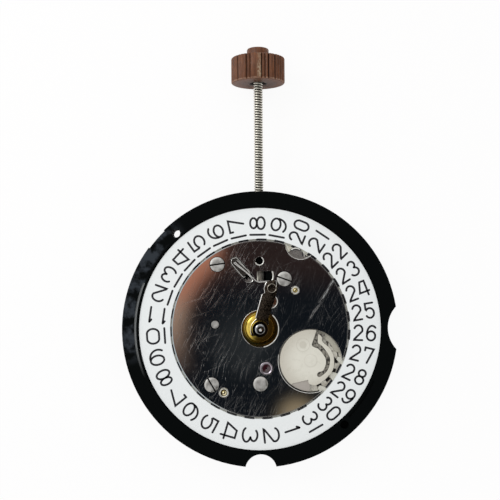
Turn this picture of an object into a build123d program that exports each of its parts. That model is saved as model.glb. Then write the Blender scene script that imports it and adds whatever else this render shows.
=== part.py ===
from build123d import *
import math
import os

# Driving sizes, in millimetres. The origin is the centre of the back face, with the dial side up and the
# stem along +Y.

# Main plate
flange_radius = 13.1
casing_radius = 12.8
flange_thickness = 0.80
back_rim_radius = 12.4
back_rim_depth = 0.30
train_depth = 1.20
floor_thickness = 0.38
running_gap = 0.04
side_gap = 0.10
slip_gap = 0.02
overrun = 1.0
channel_radius = 9.6
island_radius = 7.70
disc_recess_radius = 11.60
side_notch_radius = 2.98
side_notch_distance = 15.13
foot_notch_radius = 1.50
foot_notch_distance = 13.36
edge_recess_depth = 0.10
edge_recess_start = 134.0
edge_recess_end = 143.6
dial_foot_radius = 0.40
dial_foot_distance = 12.10
dial_foot_angles = (131.0, -49.0)
ring_groove_radius = 11.86
ring_groove_width = 0.20
ring_groove_depth = 0.10
ring_groove_spans = ((158.0, 203.0), (-45.0, -25.0))

# Wheels
wheel_thickness = 0.12
hour_wheel_thickness = 0.14
layer_gap = 0.06
train_gap = 0.15
hour_module = 0.095
cannon_teeth = 12
minute_wheel_teeth = 36
minute_pinion_teeth = 10
hour_wheel_teeth = 40
date_gear_teeth = 80
setting_wheel_teeth = 16
intermediate_module = 0.06
seconds_module = 0.13
rotor_pinion_teeth = 8
intermediate_wheel_teeth = 60
intermediate_pinion_teeth = 8
seconds_wheel_teeth = 32
seconds_pinion_teeth = 8
third_wheel_teeth = 60
third_pinion_teeth = 8
centre_wheel_teeth = 64
train_centre_distance = 2.60
minute_angle = 68.0
setting_angle = 135.0
date_angle = -32.6
third_angle = 20.0
intermediate_angle = -60.0
rotor_angle = -20.0
arbor_radius = 0.08
pinion_overhang = 0.03

# Hands' posts
hour_tube_radius = 0.75
hour_tube_body_radius = 0.78
hour_shoulder_rise = 0.10
cannon_radius = 0.45
cannon_body_radius = 0.48
hand_shoulder_gap = 0.04
cannon_bore = 0.25
centre_pipe_radius = 0.24
centre_pipe_bore = 0.16
seconds_pivot_radius = 0.125
seconds_body_radius = 0.14
hour_tube_rise = 0.85
cannon_rise = 0.45
seconds_rise = 0.45
hour_dish_radius = 1.28
hour_dish_rise = 0.20
hour_dish_slope = 45.0

# Date disc
disc_outer_radius = 11.5
disc_inner_radius = 8.55
disc_thickness = 0.31
disc_teeth = 31
disc_tooth_tip_radius = 7.87
disc_tooth_depth = 0.24
disc_hub_width = 0.85
disc_gap_angle = 88.8
dial_seat_gap = 0.13

# Cover plate
cover_radius = 8.40
cover_thickness = 0.14
cover_lift = 0.11
cover_hole_radius = 1.76
date_window_radius = 3.04
date_window_centre = (4.74, -3.11)
corrector_window_radius = 1.50
corrector_window_centre = (3.94, 8.05)
clutch_window_low = (-0.24, 4.56)
clutch_window_high = (1.33, 5.47)
spring_slot_start = (-2.32, 6.38)
spring_slot_end = (-1.04, 4.86)
spring_slot_radius = 0.47
sight_hole_centre = (-0.01, 6.44)
sight_hole_radius = 0.40
minute_hole_centre = (1.04, 2.58)
minute_hole_radius = 0.645
small_hole_centre = (1.56, 4.28)
small_hole_radius = 0.235

# Fasteners and small parts of the cover plate
cover_screw_places = ((-4.04, 6.14, 8.0), (2.34, 4.72, -20.0), (-4.63, -5.29, -60.0))
screw_head_radius = 0.69
screw_head_height = 0.15
screw_shank_radius = 0.40
screw_shank_length = 0.62
screw_slot_width = 0.16
screw_slot_depth = 0.08
stud_place = (0.02, -5.24)
pin_place = (-4.27, 0.41)
pin_radius = 0.38
pin_rise = 0.05
tube_places = ((3.38, 3.63, 0.39), (-3.48, -6.05, 0.46))
tube_wall = 0.14
tube_rise = 0.10
bush_bore = 0.09
jewel_place = (0.57, -3.78)
jewel_setting_radius = 0.605
jewel_radius = 0.40
jewel_bore = 0.08
jewel_rise = 0.03

# Jumper spring
spring_thickness = 0.12
spring_rivet_place = (1.16, 3.84)
spring_rivet_radius = 0.30
spring_rivet_rise = 0.06
spring_left_edge = ((0.64, 4.56), (0.40, 3.76), (0.47, 3.43), (0.27, 3.29), (-0.40, 1.02),
                    (-0.30, 0.79), (-0.86, 0.52), (-1.02, -0.20), (-0.73, -0.62))
spring_fork = ((-0.55, -0.62), (-0.82, -0.05))
spring_right_edge = ((0.80, 0.36), (0.80, 1.02), (0.97, 1.40), (1.10, 1.86), (1.59, 3.23), (1.86, 4.16),
                     (1.56, 4.62))
spring_fork_radius = 0.84
blade_line = ((0.70, 4.42), (-0.10, 4.42), (-0.62, 4.80), (-1.30, 5.42), (-2.45, 6.40))
blade_width = 0.14
blade_hook = ((-0.78, 4.93), (-0.66, 4.62), (-1.00, 4.40))

# Date wheel, finger and jumper
finger_radius = 2.80
finger_thickness = 0.18
finger_step = 0.07
finger_tip_depth = 0.15
finger_hub_radius = 0.70
finger_mark_place = (4.06, -1.60)
finger_mark_radius = 0.66
finger_mark_depth = 0.02
finger_mark_width = 0.06
finger_rim_start = 79.0
finger_rim_steps = 24
finger_lower_start = -84.0
finger_lower_steps = 10
date_post_radius = 0.35
jumper_band_inner = 2.45
jumper_band_outer = 2.95
jumper_band_start = 82.0
jumper_band_end = 20.0
jumper_nose_start = 24.0
jumper_arc_steps = 12
jumper_foot_place = (5.20, 1.60)
jumper_foot_radius = 0.55
jumper_thickness = 0.10
jumper_screw_radius = 0.22
jumper_screw_head_radius = 0.35

# Date corrector
corrector_place = (3.47, 6.39)
corrector_radius = 1.07
corrector_thickness = 0.07
corrector_hub_radius = 0.36
corrector_tooth_reach = 0.52
corrector_tooth_width = 0.24
corrector_post_radius = 0.16

# Keyless works
stem_axis_height = 1.50
stem_radius = 0.45
stem_bore_radius = 0.50
stem_square = 0.50
stem_inner_end = 4.70
stem_square_end = 6.40
stem_groove_radius = 0.25
stem_groove_width = 0.50
stem_groove_middle = 7.60
stem_reach = 11.80
pull_travel = 0.90
clutch_radius = 0.50
clutch_start = 4.55
clutch_end = 5.90
clutch_square = 0.56
clutch_groove_start = 5.30
clutch_groove_end = 5.75
clutch_groove_radius = 0.42
clutch_notches = 8
clutch_notch_depth = 0.10
clutch_notch_width = 0.10
lever_pivot_place = (-1.85, 8.05)
lever_tail_place = (-2.30, 6.75)
lever_pivot_radius = 0.50
lever_end_radius = 0.30
lever_tail_radius = 0.25
lever_pin_radius = 0.15
lever_pin_depth = 0.30
stud_radius = 0.20
yoke_pivot_place = (-2.70, 5.30)
yoke_pivot_radius = 0.42
yoke_arm_width = 0.34
yoke_tab_middle = 5.62
yoke_tab_thickness = 0.12
yoke_tab_width = 0.30
keyless_pocket = ((-3.00, 8.75), (-2.80, 6.15), (-3.40, 6.00), (-3.40, 4.60), (0.60, 4.45), (0.60, 6.15),
                  (0.50, 9.00), (-1.20, 9.00))

# Knob
knob_overlap = 1.20
knob_width = 2.45
knob_boss_length = 0.85
knob_radius = 2.62
knob_boss_radius = 1.07
knob_flutes = 38
knob_flute_depth = 0.16
knob_rib_flutes = 3
knob_chamfer = 0.20
knob_recess_radius = 0.75
knob_recess_depth = 0.30

# Battery side
battery_distance = 7.48
battery_angle = 232.0
battery_radius = 4.75
battery_height = 1.65
battery_cap_radius = 4.10
battery_gasket_width = 0.30
battery_cap_depth = 0.42
battery_cap_rise = 0.17
clamp_thickness = 0.12
clamp_width = 1.60
clamp_reach = 5.70
contact_thickness = 0.10
contact_radius = 1.60
contact_tail = 4.20
coil_centre = (6.30, -7.00)
coil_angle = 35.0
coil_radius = 0.72
coil_length = 5.80
coil_core_length = 10.0
coil_core_width = 1.00
coil_core_thickness = 0.30
coil_core_low = 0.95
coil_end_thickness = 0.12
coil_end_size = 1.30
coil_link_reach = 4.60
stator_thickness = 0.20
stator_ring_radius = 1.30
stator_bore = 0.75
stator_link_radius = 0.50
magnet_radius = 0.55
magnet_height = 0.26
bridge_thickness = 0.22
bridge_margin = 0.45
bridge_screw_places = ((-2.30, 2.60), (5.70, 1.30), (1.00, -5.10))
bridge_screw_head = 0.55
bridge_screw_shank = 0.28
bridge_screw_length = 0.90
bridge_jewel_radius = 0.34
board_thickness = 0.15
board_inner = 6.60
board_outer = 12.20
board_start = -34.0
board_end = 112.0
board_screw_angles = (62.0, 104.0)
board_screw_distance = 9.6
chip_place = (6.60, 7.40)
chip_size = 2.00
chip_height = 0.45
crystal_centre = (8.90, 3.30)
crystal_angle = 100.0
crystal_radius = 0.75
crystal_length = 5.00
crystal_lead_radius = 0.10
crystal_lead_length = 1.00
crystal_lead_offset = 0.35

# Gear tooth form, as shares of the module and of the tooth pitch
addendum_share = 0.90
dedendum_share = 1.25
tooth_foot_share = 0.29
tooth_tip_share = 0.10
disc_tooth_foot_share = 0.26
disc_tooth_tip_share = 0.08

# Flute form of the knob, as shares of the flutes' pitch
knob_ridge_share = 0.34
knob_valley_share = 0.14

# Outline of the finger wheel: radius as a share of its full radius, and angle in degrees
finger_arm_shares = ((0.940, 70.5), (0.795, 61.3), (0.739, 45.2), (0.763, 27.4), (0.787, 6.6), (0.786, -6.0),
                     (0.773, -28.9), (0.780, -54.5), (0.815, -82.6), (0.791, -92.3), (0.690, -96.8))
finger_slot_shares = ((0.560, -58.7), (0.590, -30.0), (0.633, 0.2), (0.610, 13.7), (0.543, 42.7),
                      (0.587, 67.3), (0.760, 74.0), (0.985, 74.5))
finger_body_shares = ((0.940, 79.0), (0.526, 86.0), (0.486, 68.8), (0.472, 48.2), (0.522, 4.4),
                      (0.500, -28.0), (0.480, -50.0))
finger_chord_shares = ((0.683, -98.9), (0.985, -129.1))
finger_lower_share = 0.50
jumper_nose_places = ((3.25, 17.5), (3.12, 14.0), (2.75, 15.0))

# Heights, from the back face up
plate_back = back_rim_depth
train_roof = plate_back + train_depth
floor_top = train_roof + floor_thickness
minute_low = floor_top + running_gap
minute_top = minute_low + wheel_thickness
hour_low = minute_top + layer_gap
hour_top = hour_low + hour_wheel_thickness
pocket_floor = hour_low - running_gap
channel_floor = hour_top + running_gap
disc_tooth_low = channel_floor + running_gap
disc_low = disc_tooth_low + disc_tooth_depth
cover_low = disc_low + cover_lift
cover_top = cover_low + cover_thickness
disc_top = disc_low + disc_thickness
dial_seat = disc_top + dial_seat_gap
finger_low = disc_low + running_gap
flange_low = dial_seat - flange_thickness
hour_seat_low = dial_seat + hour_shoulder_rise
hour_tube_top = dial_seat + hour_tube_rise
minute_seat_low = hour_tube_top + hand_shoulder_gap
cannon_top = hour_tube_top + cannon_rise
seconds_seat_low = cannon_top + hand_shoulder_gap
seconds_top = cannon_top + seconds_rise
seconds_low = plate_back + train_gap
intermediate_low = seconds_low + wheel_thickness + train_gap
third_low = intermediate_low + wheel_thickness + train_gap
centre_low = third_low + wheel_thickness + train_gap
bridge_low = plate_back - bridge_thickness
battery_low = clamp_thickness
battery_top = battery_low + battery_height
stator_low = coil_core_low + coil_core_thickness
coil_axis_height = coil_core_low + coil_core_thickness / 2

# Distances along the stem
stem_outer_end = flange_radius + stem_reach
knob_inner_face = stem_outer_end - knob_overlap
knob_shoulder = knob_inner_face + knob_width
knob_end = knob_shoulder + knob_boss_length


def polar(distance, angle, centre=(0, 0)):
    """A point at a distance and an angle in degrees from a centre."""
    turn = math.radians(angle)
    return (centre[0] + distance * math.cos(turn), centre[1] + distance * math.sin(turn))


# Places of the wheels, from the tooth numbers
motion_distance = hour_module * (hour_wheel_teeth + minute_pinion_teeth) / 2
cannon_module = 2 * motion_distance / (cannon_teeth + minute_wheel_teeth)
setting_distance = cannon_module * (minute_wheel_teeth + setting_wheel_teeth) / 2
date_distance = hour_module * (hour_wheel_teeth + date_gear_teeth) / 2
third_module = 2 * train_centre_distance / (seconds_pinion_teeth + third_wheel_teeth)
centre_module = 2 * train_centre_distance / (third_pinion_teeth + centre_wheel_teeth)
intermediate_distance = seconds_module * (seconds_wheel_teeth + intermediate_pinion_teeth) / 2
rotor_distance = intermediate_module * (rotor_pinion_teeth + intermediate_wheel_teeth) / 2
minute_place = polar(motion_distance, minute_angle)
setting_place = polar(setting_distance, setting_angle, minute_place)
date_place = polar(date_distance, date_angle)
third_place = polar(train_centre_distance, third_angle)
intermediate_place = polar(intermediate_distance, intermediate_angle)
rotor_place = polar(rotor_distance, rotor_angle, intermediate_place)
battery_place = polar(battery_distance, battery_angle)
coil_end_a = polar(coil_link_reach, coil_angle, coil_centre)
coil_end_b = polar(-coil_link_reach, coil_angle, coil_centre)


def flat(points):
    """A flat face from the corners of its outline."""
    return make_face(Polyline(*points, close=True))


def slab(face, low, high):
    """A flat face made solid between two heights."""
    return Pos(0, 0, low) * extrude(face, high - low)


def disc(radius, low, high, place=(0, 0)):
    """A round piece between two heights."""
    return Pos(place[0], place[1], low) * extrude(Circle(radius), high - low)


def ring(outer, inner, low, high, place=(0, 0)):
    """A washer between two heights."""
    face = Circle(outer) - Circle(inner)
    return Pos(place[0], place[1], low) * extrude(face, high - low)


def bar(start, end, radius, low, high):
    """A flat link with round ends."""
    turn = math.degrees(math.atan2(end[1] - start[1], end[0] - start[0]))
    length = math.dist(start, end)
    middle = ((start[0] + end[0]) / 2, (start[1] + end[1]) / 2)
    face = Rectangle(length, 2 * radius) + Pos(length / 2, 0) * Circle(radius)
    face += Pos(-length / 2, 0) * Circle(radius)
    return Pos(middle[0], middle[1], low) * Rot(0, 0, turn) * extrude(face, high - low)


def arc_points(radius, start, end, steps, centre=(0, 0)):
    """Points along an arc, both ends included."""
    return [polar(radius, start + (end - start) * step / steps, centre) for step in range(steps + 1)]


def sector(inner, outer, start, end, low, high, centre=(0, 0)):
    """A curved strip between two radii and two angles."""
    middle = (start + end) / 2
    outer_arc = ThreePointArc(polar(outer, start, centre), polar(outer, middle, centre),
                              polar(outer, end, centre))
    inner_arc = ThreePointArc(polar(inner, end, centre), polar(inner, middle, centre),
                              polar(inner, start, centre))
    edges = [outer_arc, Line(outer_arc @ 1, inner_arc @ 0), inner_arc, Line(inner_arc @ 1, outer_arc @ 0)]
    return slab(make_face(edges), low, high)


def along_stem(radius, start, end):
    """A round bar on the stem's axis between two distances from the centre."""
    bar_solid = extrude(Circle(radius), end - start)
    return Pos(0, start, stem_axis_height) * Rot(-90, 0, 0) * bar_solid


# Gear teeth
def gear_outline(teeth, module, phase):
    """The toothed outline of a wheel, with the middle of one tooth at the phase angle."""
    pitch = 360 / teeth
    root = module * (teeth / 2 - dedendum_share)
    tip = module * (teeth / 2 + addendum_share)
    corners = ((root, -tooth_foot_share), (tip, -tooth_tip_share), (tip, tooth_tip_share),
               (root, tooth_foot_share))
    points = []
    for tooth in range(teeth):
        for radius, share in corners:
            points.append(polar(radius, phase + (tooth + share) * pitch))
    return flat(points)


def gear(teeth, module, phase, low, high, place=(0, 0)):
    """A toothed wheel without its bore."""
    return Pos(place[0], place[1], low) * extrude(gear_outline(teeth, module, phase), high - low)


def tip_radius(teeth, module):
    """The outer radius of a wheel's teeth."""
    return module * (teeth / 2 + addendum_share)


def meshed_phase(teeth_a, phase_a, teeth_b, angle):
    """The phase of wheel b that puts its gap on a tooth of wheel a, which lies back along the angle."""
    share_a = teeth_a * (angle - phase_a) / 360
    return angle + 180 - (0.5 - share_a) * 360 / teeth_b


# Main plate
def rotor_and_coil_room():
    """The hollow for stator, coil and rotor, open to the back."""
    low = plate_back - overrun
    room = disc(stator_ring_radius + side_gap, low, train_roof, rotor_place)
    for end in (coil_end_a, coil_end_b):
        room += bar(rotor_place, end, stator_link_radius + side_gap, low, train_roof)
    depth = coil_axis_height + coil_radius + running_gap - low
    coil_room = Box(coil_core_length + 2 * side_gap, 2 * coil_radius + 2 * side_gap, depth,
                    align=(Align.CENTER, Align.CENTER, Align.MIN))
    room += Pos(coil_centre[0], coil_centre[1], low) * Rot(0, 0, coil_angle) * coil_room
    return room


def train_room():
    """The hollow for the wheels of the train, open to the back."""
    low = plate_back - overrun
    rooms = ((tip_radius(centre_wheel_teeth, centre_module), (0, 0)),
             (tip_radius(third_wheel_teeth, third_module), third_place),
             (tip_radius(intermediate_wheel_teeth, intermediate_module), intermediate_place))
    room = disc(rooms[0][0] + side_gap, low, train_roof)
    for radius, place in rooms[1:]:
        room += disc(radius + side_gap, low, train_roof, place)
    return room


def pivot_holes():
    """Blind holes for the upper pivots of the train, and the bearing of the centre pipe."""
    holes = disc(centre_pipe_radius + running_gap, train_roof - overrun, floor_top + overrun)
    for place in (third_place, intermediate_place, rotor_place):
        holes += disc(arbor_radius + slip_gap, train_roof - running_gap, train_roof + floor_thickness / 2,
                      place)
    return holes


def motion_room():
    """Pockets for the wheels under the cover plate, open to the dial side."""
    top = cover_low + overrun
    room = disc(tip_radius(hour_wheel_teeth, hour_module) + side_gap, floor_top, top)
    room += disc(tip_radius(minute_wheel_teeth, cannon_module) + side_gap, floor_top, top, minute_place)
    room += disc(tip_radius(setting_wheel_teeth, cannon_module) + side_gap, floor_top, top, setting_place)
    room += disc(tip_radius(date_gear_teeth, hour_module) + side_gap, pocket_floor, top, date_place)
    return room


def keyless_room():
    """Room for sliding pinion, lever and yoke, and the bore of the stem."""
    top = cover_low + overrun
    room = slab(flat(keyless_pocket), pocket_floor, top)
    width = 2 * (clutch_radius + side_gap)
    box = Box(width, clutch_end - clutch_start + 2 * side_gap, top - stem_axis_height + clutch_radius + side_gap,
              align=(Align.CENTER, Align.MIN, Align.MAX))
    room += Pos(0, clutch_start - side_gap, top) * box
    room += along_stem(stem_bore_radius, clutch_end, knob_inner_face)
    groove_start = stem_groove_middle - stem_groove_width / 2
    slot = Box(2 * lever_end_radius, stem_groove_width + pull_travel + side_gap, top - stem_axis_height,
               align=(Align.CENTER, Align.MIN, Align.MAX))
    room += Pos(0, groove_start, top) * slot
    return room


def corrector_room():
    """Pocket for the date corrector."""
    top = cover_low + overrun
    upper = cover_low - corrector_thickness - slip_gap - running_gap
    room = disc(corrector_radius + side_gap, upper, top, corrector_place)
    room += disc(corrector_tooth_reach + side_gap, disc_tooth_low - slip_gap, top, corrector_place)
    return room


def battery_room():
    """Round hollow for the battery and its contact, open to the back."""
    return disc(battery_radius + side_gap, plate_back - overrun,
                battery_top + contact_thickness + running_gap, battery_place)


def clamp_ends():
    """The two ends of the battery clamp, across the battery from its middle."""
    return [polar(side * clamp_reach, battery_angle + 90, battery_place) for side in (1, -1)]


def fastener_holes():
    """Holes that the screws, pins and posts sit in."""
    low = cover_low - screw_shank_length
    holes = disc(screw_shank_radius, low, cover_low + overrun, stud_place)
    for x, y, _ in cover_screw_places:
        holes += disc(screw_shank_radius, low, cover_low + overrun, (x, y))
    holes += disc(pin_radius, low, cover_low + overrun, pin_place)
    for x, y, radius in tube_places:
        holes += disc(radius, low, cover_low + overrun, (x, y))
    for place in bridge_screw_places:
        holes += disc(bridge_screw_shank, plate_back - overrun, plate_back + bridge_screw_length, place)
    for angle in board_screw_angles:
        holes += disc(bridge_screw_shank, plate_back - overrun, plate_back + bridge_screw_length,
                      polar(board_screw_distance, angle))
    holes += disc(bridge_screw_shank, clamp_thickness - overrun, clamp_thickness + bridge_screw_length,
                  clamp_ends()[0])
    for place, radius, _, _ in posts():
        holes += disc(radius, train_roof + floor_thickness / 2, floor_top + overrun, place)
    holes += disc(jumper_screw_radius, channel_floor - floor_thickness, cover_low + overrun,
                  jumper_foot_place)
    return holes


def posts():
    """Place, radius, bearing height and top height of each post on the dial side."""
    return ((minute_place, stud_radius, minute_low, hour_top),
            (setting_place, stud_radius, minute_low, minute_top),
            (date_place, date_post_radius, pocket_floor, finger_low - slip_gap),
            (corrector_place, corrector_post_radius, pocket_floor, cover_low - slip_gap),
            (lever_pivot_place, stud_radius, pocket_floor, hour_top + slip_gap),
            (yoke_pivot_place, stud_radius, pocket_floor, cover_low - slip_gap))


def main_plate():
    """Moulded plate that carries everything, with the ring that shows round the date disc."""
    body = disc(casing_radius, plate_back, flange_low) + disc(flange_radius, flange_low, dial_seat)
    body += ring(casing_radius, back_rim_radius, 0, plate_back)
    for end in clamp_ends():
        body += disc(clamp_width / 2, clamp_thickness, plate_back, end)
    body -= disc(disc_recess_radius, disc_low - slip_gap, dial_seat + overrun)
    body -= ring(channel_radius, island_radius, channel_floor, dial_seat)
    body -= disc(island_radius, cover_low, dial_seat)
    body -= train_room()
    body -= rotor_and_coil_room()
    body -= battery_room()
    body -= motion_room()
    body -= keyless_room()
    body -= corrector_room()
    body -= slab(jumper_face(side_gap), disc_tooth_low, dial_seat)
    body -= pivot_holes()
    body -= fastener_holes()
    body -= chip_body(side_gap)
    body -= crystal_body(side_gap)
    low, high = -overrun, dial_seat + overrun
    body -= disc(side_notch_radius, low, high, (side_notch_distance, 0))
    body -= disc(foot_notch_radius, low, high, (0, -foot_notch_distance))
    for angle in dial_foot_angles:
        body -= disc(dial_foot_radius, low, high, polar(dial_foot_distance, angle))
    body -= sector(flange_radius - edge_recess_depth, flange_radius + overrun, edge_recess_start,
                   edge_recess_end, flange_low - overrun, high)
    for start, end in ring_groove_spans:
        body -= sector(ring_groove_radius - ring_groove_width / 2, ring_groove_radius + ring_groove_width / 2,
                       start, end, dial_seat - ring_groove_depth, high)
    return body


# Date disc
def date_disc():
    """Ring with 31 inner teeth at a lower level than its printed face."""
    pitch = 360 / disc_teeth
    corners = ((disc_inner_radius, -disc_tooth_foot_share), (disc_tooth_tip_radius, -disc_tooth_tip_share),
               (disc_tooth_tip_radius, disc_tooth_tip_share), (disc_inner_radius, disc_tooth_foot_share))
    points = []
    for tooth in range(disc_teeth):
        for radius, share in corners:
            points.append(polar(radius, disc_gap_angle + (tooth + 0.5 + share) * pitch))
    toothed = Circle(disc_inner_radius + disc_hub_width) - flat(points)
    face = ring(disc_outer_radius, disc_inner_radius, disc_low, disc_top)
    return face + slab(toothed, disc_tooth_low, disc_low)


# Cover plate and what is fixed to it
def cover_plate():
    """Thin polished plate over the motion work, with all its holes and windows."""
    plate = disc(cover_radius, cover_low, cover_top)
    low, high = cover_low - overrun, cover_top + overrun
    plate -= disc(cover_hole_radius, low, high)
    plate -= disc(date_window_radius, low, high, date_window_centre)
    plate -= disc(corrector_window_radius, low, high, corrector_window_centre)
    width = clutch_window_high[0] - clutch_window_low[0]
    height = clutch_window_high[1] - clutch_window_low[1]
    window = Box(width, height, high - low, align=(Align.MIN, Align.MIN, Align.MIN))
    plate -= Pos(clutch_window_low[0], clutch_window_low[1], low) * window
    plate -= bar(spring_slot_start, spring_slot_end, spring_slot_radius, low, high)
    plate -= disc(sight_hole_radius, low, high, sight_hole_centre)
    plate -= disc(minute_hole_radius, low, high, minute_hole_centre)
    plate -= disc(small_hole_radius, low, high, small_hole_centre)
    plate -= disc(spring_rivet_radius, low, high, spring_rivet_place)
    for x, y, _ in cover_screw_places:
        plate -= disc(screw_shank_radius, low, high, (x, y))
    plate -= disc(screw_shank_radius, low, high, stud_place)
    plate -= disc(pin_radius, low, high, pin_place)
    for x, y, radius in tube_places:
        plate -= disc(radius, low, high, (x, y))
    plate -= disc(jewel_setting_radius, low, high, jewel_place)
    return plate


def slotted_screw(place, slot_angle, seat, head_radius, shank_radius, length, up=1):
    """A slotted screw whose head lies on its seat, above it or, when up is -1, below it."""
    far = seat + up * screw_head_height
    head = disc(head_radius, min(seat, far), max(seat, far), place)
    tip = seat - up * length
    head += disc(shank_radius, min(seat, tip), max(seat, tip), place)
    slot = Box(2 * head_radius + overrun, screw_slot_width, 2 * screw_slot_depth)
    return head - Pos(place[0], place[1], far) * Rot(0, 0, slot_angle) * slot


def cover_screws():
    """Three screws that hold the cover plate."""
    length = cover_thickness + screw_shank_length
    return [slotted_screw((x, y), angle, cover_top, screw_head_radius, screw_shank_radius, length)
            for x, y, angle in cover_screw_places]


def cover_stud():
    """Plain round-headed stud."""
    stud = disc(screw_head_radius, cover_top, cover_top + screw_head_height, stud_place)
    stud = chamfer(stud.edges().group_by(Axis.Z)[-1], screw_head_height / 4)
    return stud + disc(screw_shank_radius, cover_low - screw_shank_length, cover_top, stud_place)


def locating_pin():
    """Solid pin that locates the cover plate."""
    return disc(pin_radius, cover_low - screw_shank_length, cover_top + pin_rise, pin_place)


def plate_tubes():
    """Two short tubes pressed into the main plate."""
    return [ring(radius, radius - tube_wall, cover_low - screw_shank_length, cover_top + tube_rise, (x, y))
            for x, y, radius in tube_places]


def tube_bushes():
    """Brass bushes in the tubes."""
    return [ring(radius - tube_wall, bush_bore, cover_low - screw_shank_length, cover_top + tube_rise / 2,
                 (x, y)) for x, y, radius in tube_places]


def jewel_setting():
    """Metal ring pressed into the cover plate round the jewel."""
    return ring(jewel_setting_radius, jewel_radius, cover_low, cover_top + jewel_rise, jewel_place)


def plate_jewel():
    """Pierced jewel in its ring."""
    return ring(jewel_radius, jewel_bore, cover_low, cover_top, jewel_place)


def jumper_spring():
    """Stamped spring: a forked arm over the hour wheel and a thin blade over its slot."""
    points = list(spring_left_edge) + list(spring_fork)
    points += list(spring_right_edge)
    arm = flat(points) - Circle(spring_fork_radius) - Pos(*spring_rivet_place) * Circle(spring_rivet_radius)
    spring = slab(arm, cover_top, cover_top + spring_thickness)
    for line in (blade_line, blade_hook):
        for start, end in zip(line, line[1:]):
            spring += bar(start, end, blade_width / 2, cover_top, cover_top + spring_thickness)
    return spring


def spring_rivet():
    """Tubular rivet that fixes the spring to the cover plate."""
    top = cover_top + spring_thickness
    rivet = disc(spring_rivet_radius, cover_low, top, spring_rivet_place)
    rivet += disc(spring_rivet_radius + spring_thickness, top, top + spring_rivet_rise, spring_rivet_place)
    return rivet - disc(spring_rivet_radius - spring_thickness, cover_low - overrun, top + overrun,
                        spring_rivet_place)


# Date work
def jumper_face(grow):
    """Outline of the date jumper, or of its pocket when grown."""
    band = arc_points(jumper_band_outer + grow, jumper_band_start, jumper_nose_start, jumper_arc_steps,
                      date_place)
    band += [polar(radius, angle, date_place) for radius, angle in jumper_nose_places]
    band += arc_points(jumper_band_inner - grow, jumper_band_end, jumper_band_start, jumper_arc_steps,
                       date_place)
    middle = (jumper_band_inner + jumper_band_outer) / 2
    width = jumper_band_outer - jumper_band_inner + 2 * grow
    start = polar(middle, jumper_band_start, date_place)
    length = jumper_foot_place[1] - start[1]
    link = Pos(jumper_foot_place[0], start[1] + length / 2) * Rectangle(width, length)
    foot = Pos(*jumper_foot_place) * Circle(jumper_foot_radius + grow)
    corner = Pos(*start) * Circle(width / 2)
    return flat(band) + link + foot + corner


def date_jumper():
    """Springy arm whose nose sits in a tooth gap of the date disc."""
    low = disc_tooth_low
    return slab(jumper_face(0), low, low + jumper_thickness) - disc(jumper_screw_radius, low - overrun,
                                                                    low + overrun, jumper_foot_place)


def jumper_screw():
    """Small screw through the jumper's foot."""
    low = disc_tooth_low + jumper_thickness
    screw = disc(jumper_screw_radius, channel_floor - floor_thickness, low, jumper_foot_place)
    return screw + disc(jumper_screw_head_radius, low, low + jumper_thickness, jumper_foot_place)


def finger_point(share, angle):
    """A point of the finger wheel's outline."""
    return polar(share * finger_radius, angle, date_place)


def date_finger():
    """White wheel with a springy finger that steps the date disc once a day."""
    top = finger_low + finger_thickness
    chord_start, chord_end = finger_chord_shares
    rim = arc_points(finger_radius, finger_rim_start, 360 + chord_end[1], finger_rim_steps,
                     date_place)
    arm = [finger_point(*point) for point in finger_arm_shares]
    slot = [finger_point(*point) for point in finger_slot_shares]
    body = [finger_point(*point) for point in finger_body_shares]
    outline = [slot[-1]] + arm + [finger_point(*chord_start)] + list(reversed(rim)) + body + slot[:-1]
    wheel = slab(flat(outline), finger_low, top)
    lower_rim = arc_points(finger_radius, 360 + chord_end[1], 360 + finger_lower_start,
                           finger_lower_steps, date_place)
    lower_foot = [finger_point(finger_lower_share, angle) for angle in (finger_lower_start, chord_end[1])]
    lower = flat(lower_rim + lower_foot)
    wheel += slab(lower, finger_low, top - finger_step)
    tip = [finger_point(*point) for point in finger_slot_shares[-2:]] + [finger_point(*finger_arm_shares[0])]
    wheel += slab(flat(tip), finger_low - finger_tip_depth, finger_low)
    wheel -= disc(date_post_radius + slip_gap, finger_low - overrun, finger_low + finger_thickness / 2,
                  date_place)
    wheel -= ring(finger_mark_radius, finger_mark_radius - finger_mark_width, top - finger_mark_depth,
                  top + overrun, finger_mark_place)
    return wheel


def date_wheel_gear():
    """Gear under the finger, driven by the hour wheel."""
    phase = meshed_phase(hour_wheel_teeth, 0, date_gear_teeth, date_angle)
    wheel = gear(date_gear_teeth, hour_module, phase, hour_low, hour_top, date_place)
    wheel += disc(finger_hub_radius, hour_top, finger_low, date_place)
    return wheel - disc(date_post_radius + slip_gap, hour_low - overrun, finger_low + overrun, date_place)


def date_corrector():
    """Small disc with one tooth below it, which the stem's pulled position turns."""
    high = cover_low - slip_gap
    low = high - corrector_thickness
    piece = disc(corrector_radius, low, high, corrector_place)
    piece += disc(corrector_hub_radius, disc_tooth_low, low, corrector_place)
    outward = math.degrees(math.atan2(corrector_place[1], corrector_place[0]))
    tooth = Box(corrector_tooth_reach, corrector_tooth_width, low - disc_tooth_low,
                align=(Align.MIN, Align.CENTER, Align.MIN))
    piece += Pos(*corrector_place, disc_tooth_low) * Rot(0, 0, outward) * tooth
    return piece - disc(corrector_post_radius + slip_gap, disc_tooth_low - overrun,
                        high - corrector_thickness / 2, corrector_place)


# Motion work
def cannon_pinion():
    """Pinion that carries the minute hand and slips on the centre wheel's pipe."""
    pinion = gear(cannon_teeth, cannon_module, 0, minute_low, minute_top)
    pinion += disc(cannon_body_radius, minute_top, minute_seat_low)
    pinion += disc(cannon_radius, minute_seat_low, cannon_top)
    return pinion - disc(cannon_bore, minute_low - overrun, cannon_top + overrun)


def minute_phase():
    """Phase of the minute wheel against the cannon pinion."""
    return meshed_phase(cannon_teeth, 0, minute_wheel_teeth, minute_angle)


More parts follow.
